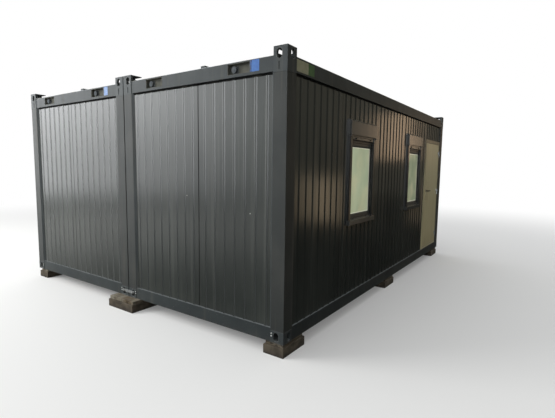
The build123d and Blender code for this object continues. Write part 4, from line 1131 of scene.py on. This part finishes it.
def towards(side, low, high):
    """A smooth step over the cosine between a direction and one side of the studio."""
    vectors = {0: sky.node("TexCoord", output="Generated"), 1: side}
    return sky.node("VectorMath", {"operation": "DOT_PRODUCT"}, vectors, output="Value").between(low, high)


soft = towards(BRIGHT_SIDE, -0.8, 0.95).blend((0.17, 0.16, 0.145, 1), (1.05, 1.07, 1.1, 1))
mirrored = towards(MIRRORED_LEFT, -0.35, 0.7).blend((0.14, 0.13, 0.10, 1), (0.6, 0.62, 0.64, 1))
mirrored = towards(MIRRORED_FAR, 0.80, 0.99).blend(mirrored, (3.3, 3.35, 3.4, 1))
mirrored = towards(MIRRORED_NEAR, 0.87, 1.03).blend(mirrored, (6.5, 6.6, 6.7, 1))
raised = 1 + towards(Vector((0, 0, 1)), 0.0, 0.18) * 0.75
mirrored = sky.node("VectorMath", {"operation": "SCALE"}, {0: mirrored, "Scale": raised})
rays = sky.node("LightPath")
lit = rays.output("Is Glossy Ray").blend(soft, mirrored)
seen = sky.maths("MAXIMUM", rays.output("Is Camera Ray"), rays.output("Is Transmission Ray"))
background = sky.node("Background", sockets={"Color": seen.blend(lit, (1, 1, 1, 1)), "Strength": 1.0})
sky.node("OutputWorld", sockets={"Surface": background})

for name, place, target, size, power, colour, mirrored in (
    ("left_window", (-9.5, 8.0, 6.0), (-3, 1.0, 1.6), (6, 5), 900, (1, 0.99, 0.97), False),
    ("high_glow", (5.26, -4.20, 2.75), (-0.2, -2.4, 2.3), (0.9, 1.3), 7.0, (1, 0.69, 0.44), True),
    ("low_glow", (5.45, -6.62, 0.82), (-2.2, -2.4, 1.4), (1.15, 1.45), 9.0, (1, 0.77, 0.50), True),
):
    lamp = bpy.data.lights.new(name, "AREA")
    lamp.shape = "RECTANGLE"
    lamp.size, lamp.size_y = size
    lamp.energy = power
    lamp.color = colour
    holder = bpy.data.objects.new(name, lamp)
    bpy.context.collection.objects.link(holder)
    holder.location = place
    holder.rotation_euler = (Vector(target) - Vector(place)).to_track_quat("-Z", "Y").to_euler()
    holder.visible_camera = False
    holder.visible_diffuse = not mirrored
    holder.visible_glossy = mirrored


# Camera: at eye height off the near left corner, as the photograph was taken.
# Its place, turn and lens were solved from the corner castings, the rails and the joint.
EYE = (-6.0614, -4.4582, 1.8494)
HEADING, PITCH, ROLL = -0.9642, 1.4649, 0.0130

lens = bpy.data.cameras.new("photograph_view")
lens.lens = 25.64
lens.sensor_fit = "HORIZONTAL"
lens.sensor_width = 36
lens.clip_end = 200
camera = bpy.data.objects.new("photograph_view", lens)
bpy.context.collection.objects.link(camera)
turn = Matrix.Rotation(HEADING, 4, "Z") @ Matrix.Rotation(PITCH, 4, "X") @ Matrix.Rotation(ROLL, 4, "Z")
camera.matrix_world = Matrix.Translation(EYE) @ turn
bpy.context.scene.camera = camera
bpy.context.scene.view_settings.view_transform = "Standard"
